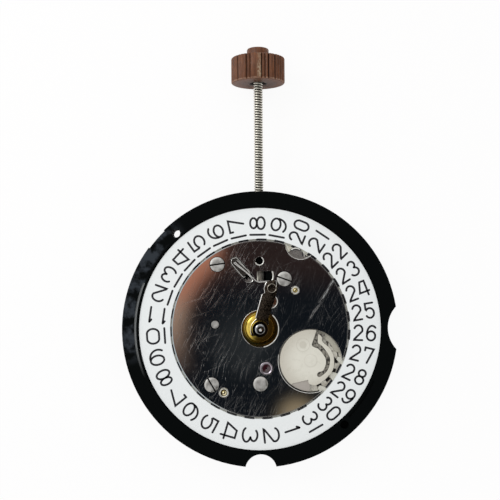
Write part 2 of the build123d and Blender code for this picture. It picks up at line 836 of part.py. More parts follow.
def minute_wheel():
    """Wheel driven by the cannon pinion."""
    wheel = gear(minute_wheel_teeth, cannon_module, minute_phase(), minute_low, minute_top, (0, 0))
    wheel = Pos(*minute_place, 0) * wheel
    return wheel - disc(stud_radius + slip_gap, minute_low - overrun, minute_top + overrun, minute_place)


def minute_pinion():
    """Pinion on the minute wheel that drives the hour wheel."""
    phase = meshed_phase(hour_wheel_teeth, 0, minute_pinion_teeth, minute_angle)
    pinion = gear(minute_pinion_teeth, hour_module, phase, minute_top, hour_top, minute_place)
    return pinion - disc(stud_radius + slip_gap, minute_top - overrun, hour_top + overrun, minute_place)


def hour_wheel():
    """Dished brass wheel on the tube that carries the hour hand."""
    wheel = gear(hour_wheel_teeth, hour_module, 0, hour_low, hour_top)
    dish = extrude(Circle(hour_dish_radius), hour_dish_rise, taper=hour_dish_slope)
    wheel += Pos(0, 0, hour_top) * dish
    wheel += disc(hour_tube_body_radius, hour_top, hour_seat_low)
    wheel += disc(hour_tube_radius, hour_seat_low, hour_tube_top)
    return wheel - disc(cannon_body_radius + slip_gap, hour_low - overrun, hour_tube_top + overrun)


def setting_wheel():
    """Wheel between the sliding pinion and the minute wheel."""
    phase = meshed_phase(minute_wheel_teeth, minute_phase(), setting_wheel_teeth, setting_angle)
    wheel = gear(setting_wheel_teeth, cannon_module, phase, minute_low, minute_top, setting_place)
    return wheel - disc(stud_radius + slip_gap, minute_low - overrun, minute_top + overrun, setting_place)


def pivot_posts():
    """Steel posts that the dial-side wheels and levers turn on."""
    foot = train_roof + floor_thickness / 2
    return [disc(radius, foot, top, place) for place, radius, _, top in posts()]


# Going train
def arbor(place, low, high):
    """Thin steel arbor of a train wheel."""
    return disc(arbor_radius, low, high, place)


def train_arbor_low():
    """Height where the arbors' lower pivots stand in the bridge jewels."""
    return bridge_low + bridge_thickness / 4


def train_arbor_high():
    """Height where the arbors' upper pivots stand in the main plate."""
    return train_roof + floor_thickness / 4


def seconds_wheel():
    """Wheel that turns once a minute."""
    wheel = gear(seconds_wheel_teeth, seconds_module, 0, seconds_low, seconds_low + wheel_thickness)
    return wheel - disc(seconds_body_radius, seconds_low - overrun, seconds_low + overrun)


def seconds_arbor():
    """Arbor with its pinion, ending in the post for the seconds hand."""
    low = third_low - pinion_overhang
    high = third_low + wheel_thickness + pinion_overhang
    pinion = gear(seconds_pinion_teeth, third_module, 0, low, high)
    pinion += disc(seconds_body_radius, train_arbor_low(), seconds_seat_low)
    return pinion + disc(seconds_pivot_radius, seconds_seat_low, seconds_top)


def third_phase():
    """Phase of the third wheel against the pinion on the seconds arbor."""
    return meshed_phase(seconds_pinion_teeth, 0, third_wheel_teeth, third_angle)


def third_wheel():
    """Wheel driven by the pinion on the seconds arbor."""
    wheel = gear(third_wheel_teeth, third_module, third_phase(), third_low, third_low + wheel_thickness,
                 third_place)
    return wheel - disc(arbor_radius, third_low - overrun, third_low + overrun, third_place)


def third_pinion():
    """Pinion and arbor of the third wheel."""
    high = centre_low + wheel_thickness + pinion_overhang
    phase = meshed_phase(centre_wheel_teeth, 0, third_pinion_teeth, third_angle)
    pinion = gear(third_pinion_teeth, centre_module, phase, third_low + wheel_thickness, high, third_place)
    return pinion + arbor(third_place, train_arbor_low(), train_arbor_high())


def centre_wheel():
    """Wheel that turns once an hour, with the pipe that carries the cannon pinion."""
    wheel = gear(centre_wheel_teeth, centre_module, 0, centre_low, centre_low + wheel_thickness)
    wheel += disc(centre_pipe_radius, centre_low, cover_top)
    return wheel - disc(centre_pipe_bore, centre_low - overrun, cover_top + overrun)


def intermediate_wheel():
    """Wheel driven by the rotor."""
    phase = meshed_phase(rotor_pinion_teeth, 0, intermediate_wheel_teeth, rotor_angle + 180)
    wheel = gear(intermediate_wheel_teeth, intermediate_module, phase, intermediate_low,
                 intermediate_low + wheel_thickness, intermediate_place)
    return wheel - disc(arbor_radius, intermediate_low - overrun, intermediate_low + overrun,
                        intermediate_place)


def intermediate_pinion():
    """Pinion and arbor of the intermediate wheel."""
    phase = meshed_phase(seconds_wheel_teeth, 0, intermediate_pinion_teeth, intermediate_angle)
    pinion = gear(intermediate_pinion_teeth, seconds_module, phase, seconds_low - pinion_overhang,
                  intermediate_low, intermediate_place)
    return pinion + arbor(intermediate_place, train_arbor_low(), train_arbor_high())


def rotor_magnet():
    """Round magnet that the coil turns half a turn each second."""
    middle = stator_low + stator_thickness / 2
    return ring(magnet_radius, arbor_radius, middle - magnet_height / 2, middle + magnet_height / 2,
                rotor_place)


def rotor_pinion():
    """Pinion and arbor of the rotor."""
    pinion = gear(rotor_pinion_teeth, intermediate_module, 0, intermediate_low - pinion_overhang,
                  intermediate_low + wheel_thickness + pinion_overhang, rotor_place)
    return pinion + arbor(rotor_place, train_arbor_low(), train_arbor_high())


# Back side
def bridge_jewel_places():
    """Places of the lower bearings of the train."""
    return ((0, 0), third_place, intermediate_place, rotor_place)


def train_bridge():
    """Flat metal bridge under the train."""
    circles = [Circle(tip_radius(centre_wheel_teeth, centre_module) + bridge_margin),
               Pos(*third_place) * Circle(tip_radius(third_wheel_teeth, third_module) + bridge_margin),
               Pos(*rotor_place) * Circle(stator_ring_radius)]
    for place in bridge_screw_places:
        circles.append(Pos(*place) * Circle(bridge_screw_head + side_gap))
    edges = [edge for circle in circles for edge in circle.edges()]
    bridge = slab(make_hull(edges), bridge_low, plate_back)
    bridge -= disc(battery_radius + 2 * side_gap, bridge_low - overrun, plate_back + overrun, battery_place)
    for place in bridge_screw_places:
        bridge -= disc(bridge_screw_shank, bridge_low - overrun, plate_back + overrun, place)
        bridge -= disc(bridge_screw_head + slip_gap, bridge_low - overrun,
                       bridge_low + bridge_thickness / 2, place)
    for place in bridge_jewel_places():
        bridge -= disc(bridge_jewel_radius, bridge_low - overrun, plate_back + overrun, place)
    return bridge


def bridge_jewels():
    """Red bearings pressed into the train bridge."""
    jewels = []
    for index, place in enumerate(bridge_jewel_places()):
        pivot = seconds_body_radius if index == 0 else arbor_radius
        jewels.append(ring(bridge_jewel_radius, pivot + slip_gap, bridge_low, plate_back, place))
    return jewels


def bridge_screws():
    """Three screws of the train bridge, sunk half into it."""
    seat = bridge_low + bridge_thickness / 2
    head = bridge_thickness / 2
    screws = []
    for place in bridge_screw_places:
        screw = disc(bridge_screw_head, seat - head, seat, place)
        screw += disc(bridge_screw_shank, seat, plate_back + bridge_screw_length, place)
        slot = Box(2 * bridge_screw_head + overrun, screw_slot_width, head)
        screws.append(screw - Pos(place[0], place[1], seat - head) * Rot(0, 0, battery_angle) * slot)
    return screws


def circuit_board():
    """Thin printed board on the back, over chip, crystal and one end of the coil."""
    board = sector(board_inner, board_outer, board_start, board_end, plate_back - board_thickness, plate_back)
    low = plate_back - overrun
    for angle in board_screw_angles:
        board -= disc(bridge_screw_shank, low, plate_back + overrun, polar(board_screw_distance, angle))
    board -= disc(side_notch_radius + side_gap, low, plate_back + overrun, (side_notch_distance, 0))
    return board


def board_screws():
    """Two screws of the circuit board."""
    seat = plate_back - board_thickness
    head = board_thickness - clamp_thickness / 4
    screws = []
    for angle in board_screw_angles:
        place = polar(board_screw_distance, angle)
        screw = disc(bridge_screw_head, seat - head, seat, place)
        screw += disc(bridge_screw_shank, seat, plate_back + bridge_screw_length, place)
        slot = Box(2 * bridge_screw_head + overrun, screw_slot_width, head)
        screws.append(screw - Pos(place[0], place[1], seat - head) * Rot(0, 0, angle) * slot)
    return screws


def chip_body(grow):
    """The chip, or its pocket when grown."""
    size = chip_size + 2 * grow
    chip = Box(size, size, chip_height + grow, align=(Align.CENTER, Align.CENTER, Align.MIN))
    return Pos(chip_place[0], chip_place[1], plate_back) * chip


def lying_bar(radius, length, centre, angle, height, slide=0, shift=0):
    """A round bar that lies flat, moved along and across its own axis."""
    solid = Rot(0, 90, 0) * Cylinder(radius, length)
    return Pos(centre[0], centre[1], height) * Rot(0, 0, angle) * Pos(slide, shift, 0) * solid


def crystal_body(grow):
    """The crystal's can, or its pocket, open to the back, when grown."""
    height = plate_back + crystal_radius + slip_gap
    can = lying_bar(crystal_radius + grow, crystal_length + 2 * grow, crystal_centre, crystal_angle, height)
    if grow:
        length = crystal_length + 2 * crystal_lead_length + 2 * grow
        mouth = Box(length, 2 * (crystal_radius + grow), crystal_radius + slip_gap,
                    align=(Align.CENTER, Align.CENTER, Align.MIN))
        can += Pos(crystal_centre[0], crystal_centre[1], plate_back) * Rot(0, 0, crystal_angle) * mouth
    return can


def crystal_leads():
    """Two wires from the crystal to the board."""
    slide = -(crystal_length + crystal_lead_length) / 2
    height = plate_back + crystal_lead_radius
    return [lying_bar(crystal_lead_radius, crystal_lead_length, crystal_centre, crystal_angle, height, slide,
                      side * crystal_lead_offset) for side in (1, -1)]


def coil_core():
    """Soft iron strip through the winding."""
    strip = Box(coil_core_length, coil_core_width, coil_core_thickness,
                align=(Align.CENTER, Align.CENTER, Align.MIN))
    return Pos(coil_centre[0], coil_centre[1], coil_core_low) * Rot(0, 0, coil_angle) * strip


def coil_winding():
    """Copper winding round the core."""
    return lying_bar(coil_radius, coil_length, coil_centre, coil_angle, coil_axis_height) - coil_core()


def coil_end_plates():
    """Square plates that hold the winding at both ends."""
    plates = []
    for side in (1, -1):
        plate = Box(coil_end_thickness, coil_end_size, coil_end_size)
        slide = side * (coil_length + coil_end_thickness) / 2
        place = Pos(coil_centre[0], coil_centre[1], coil_axis_height) * Rot(0, 0, coil_angle)
        plates.append(place * Pos(slide, 0, 0) * plate - coil_core())
    return plates


def stator():
    """Flat iron plate that leads the coil's field round the rotor."""
    high = stator_low + stator_thickness
    plate = disc(stator_ring_radius, stator_low, high, rotor_place)
    for end in (coil_end_a, coil_end_b):
        plate += bar(rotor_place, end, stator_link_radius, stator_low, high)
    return plate - disc(stator_bore, stator_low - overrun, high + overrun, rotor_place)


def battery_can():
    """Steel cup of the battery."""
    rim = battery_top - battery_cap_rise
    can = disc(battery_radius, battery_low, rim, battery_place)
    return can - disc(battery_cap_radius + battery_gasket_width, rim - battery_cap_depth / 2, rim + overrun,
                      battery_place)


def battery_gasket():
    """Plastic seal between cup and cap."""
    rim = battery_top - battery_cap_rise
    return ring(battery_cap_radius + battery_gasket_width, battery_cap_radius, rim - battery_cap_depth / 2,
                rim + slip_gap, battery_place)


def battery_cap():
    """Cap of the battery, towards the dial side."""
    return disc(battery_cap_radius, battery_top - battery_cap_rise - battery_cap_depth / 2, battery_top,
                battery_place)


def negative_contact():
    """Spring leaf between the battery's cap and the main plate."""
    low, high = battery_top, battery_top + contact_thickness
    leaf = disc(contact_radius, low, high, battery_place)
    end = polar(contact_tail, battery_angle + 180, battery_place)
    return leaf + bar(battery_place, end, contact_radius / 4, low, high)


def battery_clamp():
    """Steel strap across the battery."""
    first, second = clamp_ends()
    strap = bar(first, second, clamp_width / 2, 0, clamp_thickness)
    strap -= disc(bridge_screw_shank, -overrun, clamp_thickness + overrun, first)
    return strap - disc(bridge_screw_head + slip_gap, -overrun, clamp_thickness / 2, first)


def clamp_screw():
    """Screw of the battery clamp, sunk half into it."""
    place = clamp_ends()[0]
    seat = clamp_thickness / 2
    screw = disc(bridge_screw_head, 0, seat, place)
    screw += disc(bridge_screw_shank, seat, clamp_thickness + bridge_screw_length, place)
    slot = Box(2 * bridge_screw_head + overrun, screw_slot_width, seat)
    return screw - Pos(place[0], place[1], 0) * Rot(0, 0, battery_angle) * slot


# Keyless works
def stem():
    """Steel stem with a square end, a groove for the setting lever and a threaded outer length."""
    groove_start = stem_groove_middle - stem_groove_width / 2
    groove_end = stem_groove_middle + stem_groove_width / 2
    square = Box(stem_square, stem_square_end - stem_inner_end, stem_square,
                 align=(Align.CENTER, Align.MIN, Align.CENTER))
    body = Pos(0, stem_inner_end, stem_axis_height) * square
    body += along_stem(stem_radius, stem_square_end, groove_start)
    body += along_stem(stem_groove_radius, groove_start, groove_end)
    return body + along_stem(stem_radius, groove_end, stem_outer_end)


def sliding_pinion():
    """Pinion that turns with the stem, with end teeth and a groove for the yoke."""
    body = along_stem(clutch_radius, clutch_start, clutch_end)
    groove = along_stem(clutch_radius + overrun, clutch_groove_start, clutch_groove_end)
    body -= groove - along_stem(clutch_groove_radius, clutch_groove_start, clutch_groove_end)
    for notch in range(clutch_notches):
        cut = Box(clutch_notch_width, clutch_notch_depth, 2 * clutch_radius,
                  align=(Align.CENTER, Align.MIN, Align.MIN))
        place = Pos(0, clutch_start, stem_axis_height) * Rot(0, notch * 360 / clutch_notches, 0)
        body -= place * Pos(0, 0, clutch_square / 2) * cut
    bore = Box(clutch_square, clutch_end - clutch_start + overrun, clutch_square,
               align=(Align.CENTER, Align.MIN, Align.CENTER))
    return body - Pos(0, clutch_start - overrun / 2, stem_axis_height) * bore


def setting_lever():
    """Lever that follows the groove of the stem."""
    pin_place = (0, stem_groove_middle)
    lever = bar(lever_pivot_place, pin_place, lever_end_radius, hour_low, hour_top)
    lever += bar(lever_pivot_place, lever_tail_place, lever_tail_radius, hour_low, hour_top)
    lever += disc(lever_pivot_radius, hour_low, hour_top, lever_pivot_place)
    return lever - disc(stud_radius + slip_gap, hour_low - overrun, hour_top + overrun, lever_pivot_place)


def lever_pin():
    """Pin under the setting lever that stands in the stem's groove."""
    return disc(lever_pin_radius, hour_low - lever_pin_depth, hour_low, (0, stem_groove_middle))


def yoke():
    """Thin lever whose tab stands in the groove of the sliding pinion."""
    arm = bar(yoke_pivot_place, (0, yoke_tab_middle), yoke_arm_width / 2, hour_low, hour_top)
    arm += disc(yoke_pivot_radius, hour_low, hour_top, yoke_pivot_place)
    tab_low = stem_axis_height + clutch_groove_radius + slip_gap
    tab = Box(yoke_tab_width, yoke_tab_thickness, hour_top - tab_low,
              align=(Align.CENTER, Align.CENTER, Align.MIN))
    arm += Pos(0, yoke_tab_middle, tab_low) * tab
    return arm - disc(stud_radius + slip_gap, hour_low - overrun, hour_top + overrun, yoke_pivot_place)


def knob_outline():
    """Fluted outline of the knob, with one wide smooth rib towards the dial side."""
    pitch = 360 / knob_flutes
    points = []
    for flute in range(knob_flutes):
        middle = 90 + (flute + 0.5) * pitch
        smooth = flute < knob_rib_flutes / 2 or flute >= knob_flutes - knob_rib_flutes / 2
        bottom = knob_radius if smooth else knob_radius - knob_flute_depth
        points.append(polar(knob_radius, middle - knob_ridge_share * pitch))
        points.append(polar(bottom, middle - knob_valley_share * pitch))
        points.append(polar(bottom, middle + knob_valley_share * pitch))
        points.append(polar(knob_radius, middle + knob_ridge_share * pitch))
    return flat(points)


def knob():
    """Fluted plastic knob screwed on the stem's end."""
    turned = Rot(-90, 0, 0)
    body = extrude(knob_outline(), knob_shoulder - knob_inner_face)
    shape = Cylinder(knob_radius, knob_shoulder - knob_inner_face,
                     align=(Align.CENTER, Align.CENTER, Align.MIN))
    shape = chamfer(shape.edges().filter_by(GeomType.CIRCLE), knob_chamfer)
    body = body & shape
    boss = Cylinder(knob_boss_radius, knob_end - knob_inner_face,
                    align=(Align.CENTER, Align.CENTER, Align.MIN))
    body += chamfer(boss.edges().group_by(Axis.Z)[-1], knob_chamfer)
    recess = Cylinder(knob_recess_radius, knob_recess_depth, align=(Align.CENTER, Align.CENTER, Align.MIN))
    bore = Cylinder(stem_radius, stem_outer_end - knob_inner_face,
                    align=(Align.CENTER, Align.CENTER, Align.MIN))
    body -= recess
    body -= bore
    return Pos(0, knob_inner_face, stem_axis_height) * turned * Rot(0, 0, 180) * body


pieces = {
    "main_plate": main_plate,
    "date_disc": date_disc,
    "cover_plate": cover_plate,
    "cover_screws": cover_screws,
    "cover_stud": cover_stud,
    "locating_pin": locating_pin,
    "plate_tubes": plate_tubes,
    "tube_bushes": tube_bushes,
    "jewel_setting": jewel_setting,
    "plate_jewel": plate_jewel,
    "jumper_spring": jumper_spring,
    "spring_rivet": spring_rivet,
    "date_jumper": date_jumper,
    "jumper_screw": jumper_screw,
    "date_finger": date_finger,
    "date_wheel_gear": date_wheel_gear,
    "date_corrector": date_corrector,
    "cannon_pinion": cannon_pinion,
    "minute_wheel": minute_wheel,
    "minute_pinion": minute_pinion,
    "hour_wheel": hour_wheel,
    "setting_wheel": setting_wheel,
    "pivot_posts": pivot_posts,
    "seconds_wheel": seconds_wheel,
    "seconds_arbor": seconds_arbor,
    "third_wheel": third_wheel,
    "third_pinion": third_pinion,
    "centre_wheel": centre_wheel,
    "intermediate_wheel": intermediate_wheel,
    "intermediate_pinion": intermediate_pinion,
    "rotor_magnet": rotor_magnet,
    "rotor_pinion": rotor_pinion,
    "train_bridge": train_bridge,
    "bridge_jewels": bridge_jewels,
    "bridge_screws": bridge_screws,
    "circuit_board": circuit_board,
    "board_screws": board_screws,
    "chip": lambda: chip_body(0),
    "quartz_crystal": lambda: crystal_body(0),
    "crystal_leads": crystal_leads,
    "coil_core": coil_core,
    "coil_winding": coil_winding,
    "coil_end_plates": coil_end_plates,
    "stator": stator,
    "battery_can": battery_can,
    "battery_gasket": battery_gasket,
    "battery_cap": battery_cap,
    "negative_contact": negative_contact,
    "battery_clamp": battery_clamp,
    "clamp_screw": clamp_screw,
    "stem": stem,
    "sliding_pinion": sliding_pinion,
    "setting_lever": setting_lever,
    "lever_pin": lever_pin,
    "yoke": yoke,
    "knob": knob,
}

os.makedirs("parts", exist_ok=True)
for name, make in pieces.items():
    made = make()
    solids = [solid for piece in (made if isinstance(made, list) else [made]) for solid in piece.solids()]
    export_step(Compound(children=solids), f"parts/{name}.step")
    print(name, len(solids))
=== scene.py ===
import math
import random

import bmesh
import bpy
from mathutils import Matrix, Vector


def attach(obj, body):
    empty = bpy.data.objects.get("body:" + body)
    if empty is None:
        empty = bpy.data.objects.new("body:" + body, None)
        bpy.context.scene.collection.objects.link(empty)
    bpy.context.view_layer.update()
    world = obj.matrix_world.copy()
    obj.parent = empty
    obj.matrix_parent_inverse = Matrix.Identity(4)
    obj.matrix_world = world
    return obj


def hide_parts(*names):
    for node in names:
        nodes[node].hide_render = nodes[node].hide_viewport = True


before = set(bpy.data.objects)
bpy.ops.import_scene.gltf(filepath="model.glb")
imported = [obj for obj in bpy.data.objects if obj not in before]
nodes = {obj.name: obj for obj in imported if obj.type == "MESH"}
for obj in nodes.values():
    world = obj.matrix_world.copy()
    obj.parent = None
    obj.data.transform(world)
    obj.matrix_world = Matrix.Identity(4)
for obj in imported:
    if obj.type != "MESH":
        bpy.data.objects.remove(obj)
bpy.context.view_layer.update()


# The camera: it hangs over the bench, a little off the middle, and looks straight down on the dial side,
# with a long lens so that the tubes hardly lean.
def mm(x, y, z):
    """A place in millimetres, given in metres."""
    return Vector((x, y, z)) / 1000


def lay_out(thing):
    """A thing put on the bench."""
    bpy.context.scene.collection.objects.link(thing)


camera_place = (-1.384, 5.570, 82.377)
camera = bpy.data.objects.new("overhead_camera", bpy.data.cameras.new("overhead_camera"))
camera.location = mm(*camera_place)
camera.rotation_euler = (0.0242, -0.0059, -0.0069)
camera.data.sensor_width = 36
camera.data.lens = 60.08
camera.data.clip_start = 0.001
lay_out(camera)
bpy.context.scene.camera = camera
bpy.context.scene.view_settings.view_transform = "Standard"

# The window light: one soft round light from the upper left, as from a window beside the bench. It gives
# the bright edges and the short shadows.
window = bpy.data.objects.new("window_light", bpy.data.lights.new("window_light", "AREA"))
window.data.shape = "DISK"
window.data.size = 0.07
window.data.energy = 0.040
window.location = mm(-80, 62, 80)
window.rotation_euler = (mm(0, 3, 0) - window.location).to_track_quat("-Z", "Y").to_euler()
lay_out(window)


# The room: what the polished metal mirrors. A dark ceiling hangs over the bench with a warm brown shape on
# its left, and further out the walls are bright on the window's side and dim on the other.
def add(tree, kind, *feeds, **settings):
    """A shader node with its settings, and with each feed given as an input and a value or a socket."""
    made = tree.nodes.new("ShaderNode" + kind)
    for name, value in settings.items():
        setattr(made, name, value)
    for slot, value in feeds:
        if isinstance(value, bpy.types.NodeSocket):
            tree.links.new(value, made.inputs[slot])
        else:
            made.inputs[slot].default_value = value
    return made


def work(tree, operation, a, b=0.0):
    """The result of a sum on two numbers or sockets."""
    return add(tree, "Math", (0, a), (1, b), operation=operation).outputs[0]


def times(tree, result, *shares):
    """Numbers or sockets multiplied one after another."""
    for share in shares:
        result = work(tree, "MULTIPLY", result, share)
    return result


def spread(tree, value, low, high, to_low=0.0, to_high=1.0, soft=True):
    """A value carried from one range to another, held at its ends."""
    made = add(tree, "MapRange", ("Value", value), ("From Min", low), ("From Max", high), ("To Min", to_low),
               ("To Max", to_high), interpolation_type="SMOOTHSTEP" if soft else "LINEAR")
    return made.outputs["Result"]


def tint(tree, share, first, second):
    """A colour between two colours."""
    a = first if isinstance(first, bpy.types.NodeSocket) else (*first, 1)
    b = second if isinstance(second, bpy.types.NodeSocket) else (*second, 1)
    return add(tree, "Mix", (0, share), (6, a), (7, b), data_type="RGBA").outputs[2]


def axes(tree, place):
    """The three numbers of a place."""
    return add(tree, "SeparateXYZ", (0, place)).outputs


def distance_from(tree, x, y, centre):
    """How far a place is from a point, in millimetres."""
    dx = work(tree, "SUBTRACT", x, centre[0])
    dy = work(tree, "SUBTRACT", y, centre[1])
    return work(tree, "SQRT", work(tree, "ADD", times(tree, dx, dx), times(tree, dy, dy)))


room = bpy.data.worlds.new("room")
bpy.context.scene.world = room
room.use_nodes = True
air = room.node_tree
air.nodes.clear()
east, north, up = axes(air, add(air, "TexCoord").outputs["Generated"])
flattest, cover_height = 0.05, 2.8
hanging_height = camera_place[2] - cover_height
rise = work(air, "MAXIMUM", up, flattest)
across, along = [add(air, "Math", (0, work(air, "DIVIDE", way, rise)), (1, hanging_height), (2, start),
                     operation="MULTIPLY_ADD").outputs[0] for way, start in zip((east, north), camera_place)]
ceiling = tint(air, spread(air, along, 2.5, 6.5), (0.0068, 0.0098, 0.0142), (0.031, 0.0205, 0.0195))
haze = spread(air, distance_from(air, across, along, (-1.7, -1.4)), 4.6, 0.5)
ceiling = tint(air, haze, ceiling, (0.027, 0.033, 0.037))
from_warmth = distance_from(air, across, along, (0.9, -0.5))
warm_shape = times(air, spread(air, from_warmth, 7.2, 9.3), spread(air, across, -2.6, -5.0),
                   spread(air, from_warmth, 13.0, 10.6), spread(air, along, -5.0, 1.5))
warm_brown = tint(air, spread(air, along, 1.0, 4.5), (0.48, 0.33, 0.25), (0.60, 0.26, 0.17))
ceiling = tint(air, warm_shape, ceiling, warm_brown)
glint = spread(air, distance_from(air, across, along, (3.5, -8.4)), 2.6, 0.6)
ceiling = tint(air, glint, ceiling, (0.42, 0.34, 0.22))
level = work(air, "SQRT", work(air, "SUBTRACT", 1.0001, times(air, up, up)))
toward_window = work(air, "ADD", times(air, east, -0.80), times(air, north, 0.60))
window_side = spread(air, work(air, "DIVIDE", toward_window, level), -0.45, 0.45)
walls = tint(air, window_side, (0.055, 0.044, 0.033), (1.0, 1.0, 1.0))
walls = tint(air, spread(air, up, 0.42, 0.16), walls, (0.92, 0.92, 0.92))
far_off = spread(air, distance_from(air, across, along, (1.7, -6.0)), 16.4, 43.0)
overhead = work(air, "GREATER_THAN", up, flattest)
far_off = work(air, "MAXIMUM", far_off, work(air, "SUBTRACT", 1.0, overhead))
rays = add(air, "LightPath")
light = tint(air, rays.outputs["Is Glossy Ray"], (0.78, 0.78, 0.78), tint(air, far_off, ceiling, walls))
seen = work(air, "MAXIMUM", rays.outputs["Is Camera Ray"], rays.outputs["Is Transmission Ray"])
light = tint(air, seen, light, (1.0, 1.0, 1.0))
add(air, "OutputWorld", ("Surface", add(air, "Background", ("Color", light)).outputs[0]))

# The floor: a sheet of white paper, tipped by under two degrees, because the knob is thicker than the plate
# is high and the movement rests on both.
floor_slope, floor_gap, slope_start, reach = 0.0307, 0.00003, 0.0128, 0.6
floor_mesh = bpy.data.meshes.new("floor")
corners = [(x, y, -floor_gap - floor_slope * (y + slope_start)) for x, y in
           ((-reach, -reach), (reach, -reach), (reach, reach), (-reach, reach))]
floor_mesh.from_pydata(corners, [], [(0, 1, 2, 3)])
floor = bpy.data.objects.new("floor", floor_mesh)
lay_out(floor)
paper = bpy.data.materials.new("white_paper")
paper.use_nodes = True
tree = paper.node_tree
tree.nodes.clear()
diffuse = add(tree, "BsdfDiffuse", ("Color", (0.94, 0.91, 0.91, 1)))
glow = add(tree, "Emission", ("Color", (1, 1, 1, 1)), ("Strength", 1.0))
share = times(tree, add(tree, "LightPath").outputs["Is Camera Ray"], 0.92)
mixed = add(tree, "MixShader", (0, share), (1, diffuse.outputs[0]), (2, glow.outputs[0]))
add(tree, "OutputMaterial", ("Surface", mixed.outputs[0]))
floor_mesh.materials.append(paper)


# Main plate: one moulding of black resin with a satin face and a fine groove in its outer ring. The ring is
# painted lighter in blotches on the left, as a sheen on the window's side, and a painted highlight runs along
# the groove there.
def millimetres(tree):
    """The place on a piece, in millimetres."""
    return add(tree, "VectorMath", (0, add(tree, "TexCoord").outputs["Object"]), (1, (1000, 1000, 1000)),
               operation="MULTIPLY").outputs[0]


def finish(name, colour, gloss, metal=0.0):
    """A material with its plain values on the shader itself, its node tree and its place in millimetres."""
    material = bpy.data.materials.new(name)
    material.use_nodes = True
    tree = material.node_tree
    shader = tree.nodes["Principled BSDF"]
    shader.inputs["Base Color"].default_value = (*colour, 1)
    shader.inputs["Roughness"].default_value = gloss
    shader.inputs["Metallic"].default_value = metal
    return material, tree, shader, millimetres(tree)


def coat(tree, shader, colour, gloss=None, metal=None):
    """The nodes that give a shader its colour and, where they vary, its gloss and its share of metal."""
    for slot, value in (("Base Color", colour), ("Roughness", gloss), ("Metallic", metal)):
        if value is not None:
            tree.links.new(value, shader.inputs[slot])


def grain(tree, place, scale, detail=3.0, rough=0.55, turn=0.0, stretch=None):
    """Cloudy grain, which may be drawn out into streaks along a turned direction."""
    if stretch:
        place = add(tree, "Mapping", ("Vector", place), ("Rotation", (0, 0, math.radians(-turn))),
                    vector_type="POINT").outputs[0]
        place = add(tree, "VectorMath", (0, place), (1, stretch), operation="MULTIPLY").outputs[0]
    return add(tree, "TexNoise", ("Vector", place), ("Scale", scale), ("Detail", detail),
               ("Roughness", rough)).outputs["Fac"]


def band(tree, value, low_edge, low_full, high_edge, high_full, peak=1.0):
    """A share that is full inside a band and fades to nothing at both of its edges."""
    return times(tree, spread(tree, value, low_edge, low_full),
                 spread(tree, value, high_edge, high_full, 0.0, peak))


def relief(tree, shader, height, depth, strength=1.0, edge=0.0):
    """A bump in millimetres, over edges rounded by a small radius."""
    bump = add(tree, "Bump", ("Height", height), ("Strength", strength), ("Distance", depth / 1000))
    if edge:
        rounded = add(tree, "Bevel", ("Radius", edge / 1000), samples=4)
        tree.links.new(rounded.outputs[0], bump.inputs["Normal"])
    tree.links.new(bump.outputs[0], shader.inputs["Normal"])


def dress(material, *names):
    """The pieces of the movement that take a finish."""
    for name in names:
        for slot in nodes[name].material_slots:
            slot.material = material


black_resin, tree, shader, place = finish("black_resin", (0.003, 0.0035, 0.0035), 0.42)
shader.inputs["Specular IOR Level"].default_value = 0.02
x, y, z = axes(tree, place)
from_centre = distance_from(tree, x, y, (0, 0))
bearing = work(tree, "ARCTAN2", y, times(tree, x, -1.0))
# Painted sheen: lighter blotches on the ring's left, the window's side.
blotched_window_sheen = times(tree, band(tree, bearing, -0.30, -0.10, 0.95, 0.78), spread(tree, from_centre, 11.7, 11.9),
               spread(tree, z, 2.5, 2.9, 0.15, 1.0))
blotch = spread(tree, grain(tree, place, 0.9, 5.0, 0.6), 0.42, 0.62)
fine = grain(tree, place, 14.0, 4.0, 0.6)
resin = tint(tree, fine, (0.0018, 0.0026, 0.0024), (0.0035, 0.0042, 0.0045))
resin = tint(tree, times(tree, blotched_window_sheen, blotch), resin, (0.034, 0.040, 0.048))
# Painted highlight: a light line along the groove's wall on the left.
groove_highlight = times(tree, band(tree, from_centre, 11.74, 11.77, 11.98, 11.95), spread(tree, z, 2.97, 2.93),
                  spread(tree, bearing, -0.42, -0.1), spread(tree, x, -9.0, -9.5))
resin = tint(tree, groove_highlight, resin, (0.22, 0.23, 0.23))
coat(tree, shader, resin, spread(tree, fine, 0.3, 0.7, 0.36, 0.50))
relief(tree, shader, fine, 0.006, 0.5, edge=0.05)
dress(black_resin, "main_plate")


# Going train: brass wheels with cut teeth on turned steel arbors and pinions, which run between the plate
# and the train bridge. The battery's negative contact is cut from the same brass.
def metal(name, colour, gloss, lines=0.0, turn=0.0, edge=0.03, rings=None, coarse=1.0):
    """A metal finish with fine polishing lines, straight or in rings round a point."""
    material, tree, shader, place = finish(name, colour, gloss, 1.0)
    if rings:
        x, y, z = axes(tree, place)
        from_point = distance_from(tree, x, y, rings)
        streaks = grain(tree, add(tree, "CombineXYZ", (0, from_point)).outputs[0], 22.0 * coarse, 3.0)
    else:
        streaks = grain(tree, place, 6.0 * coarse, 3.0, 0.6, turn, (1.0, 12.0, 12.0))
    cloud = grain(tree, place, 3.0, 4.0)
    low, high = [c * 0.82 for c in colour], [min(1.0, c * 1.08) for c in colour]
    share = 0.5 if coarse == 1.0 else 0.88
    tone = work(tree, "ADD", times(tree, cloud, 1 - share), times(tree, streaks, share))
    coat(tree, shader, tint(tree, spread(tree, tone, 0.35, 0.65), low, high),
         spread(tree, streaks, 0.25, 0.75, gloss * 0.8, gloss * 1.25))
    relief(tree, shader, streaks, 0.0008 + lines, 0.6, edge=edge)
    return material


brass = metal("turned_brass", (0.78, 0.58, 0.24), 0.26)
dress(brass, "seconds_wheel", "third_wheel", "centre_wheel", "intermediate_wheel", "negative_contact")
plain_steel = metal("turned_steel", (0.58, 0.57, 0.55), 0.30)
dress(plain_steel, "third_pinion", "intermediate_pinion", "rotor_pinion", "minute_pinion", "pivot_posts",
      "setting_wheel")


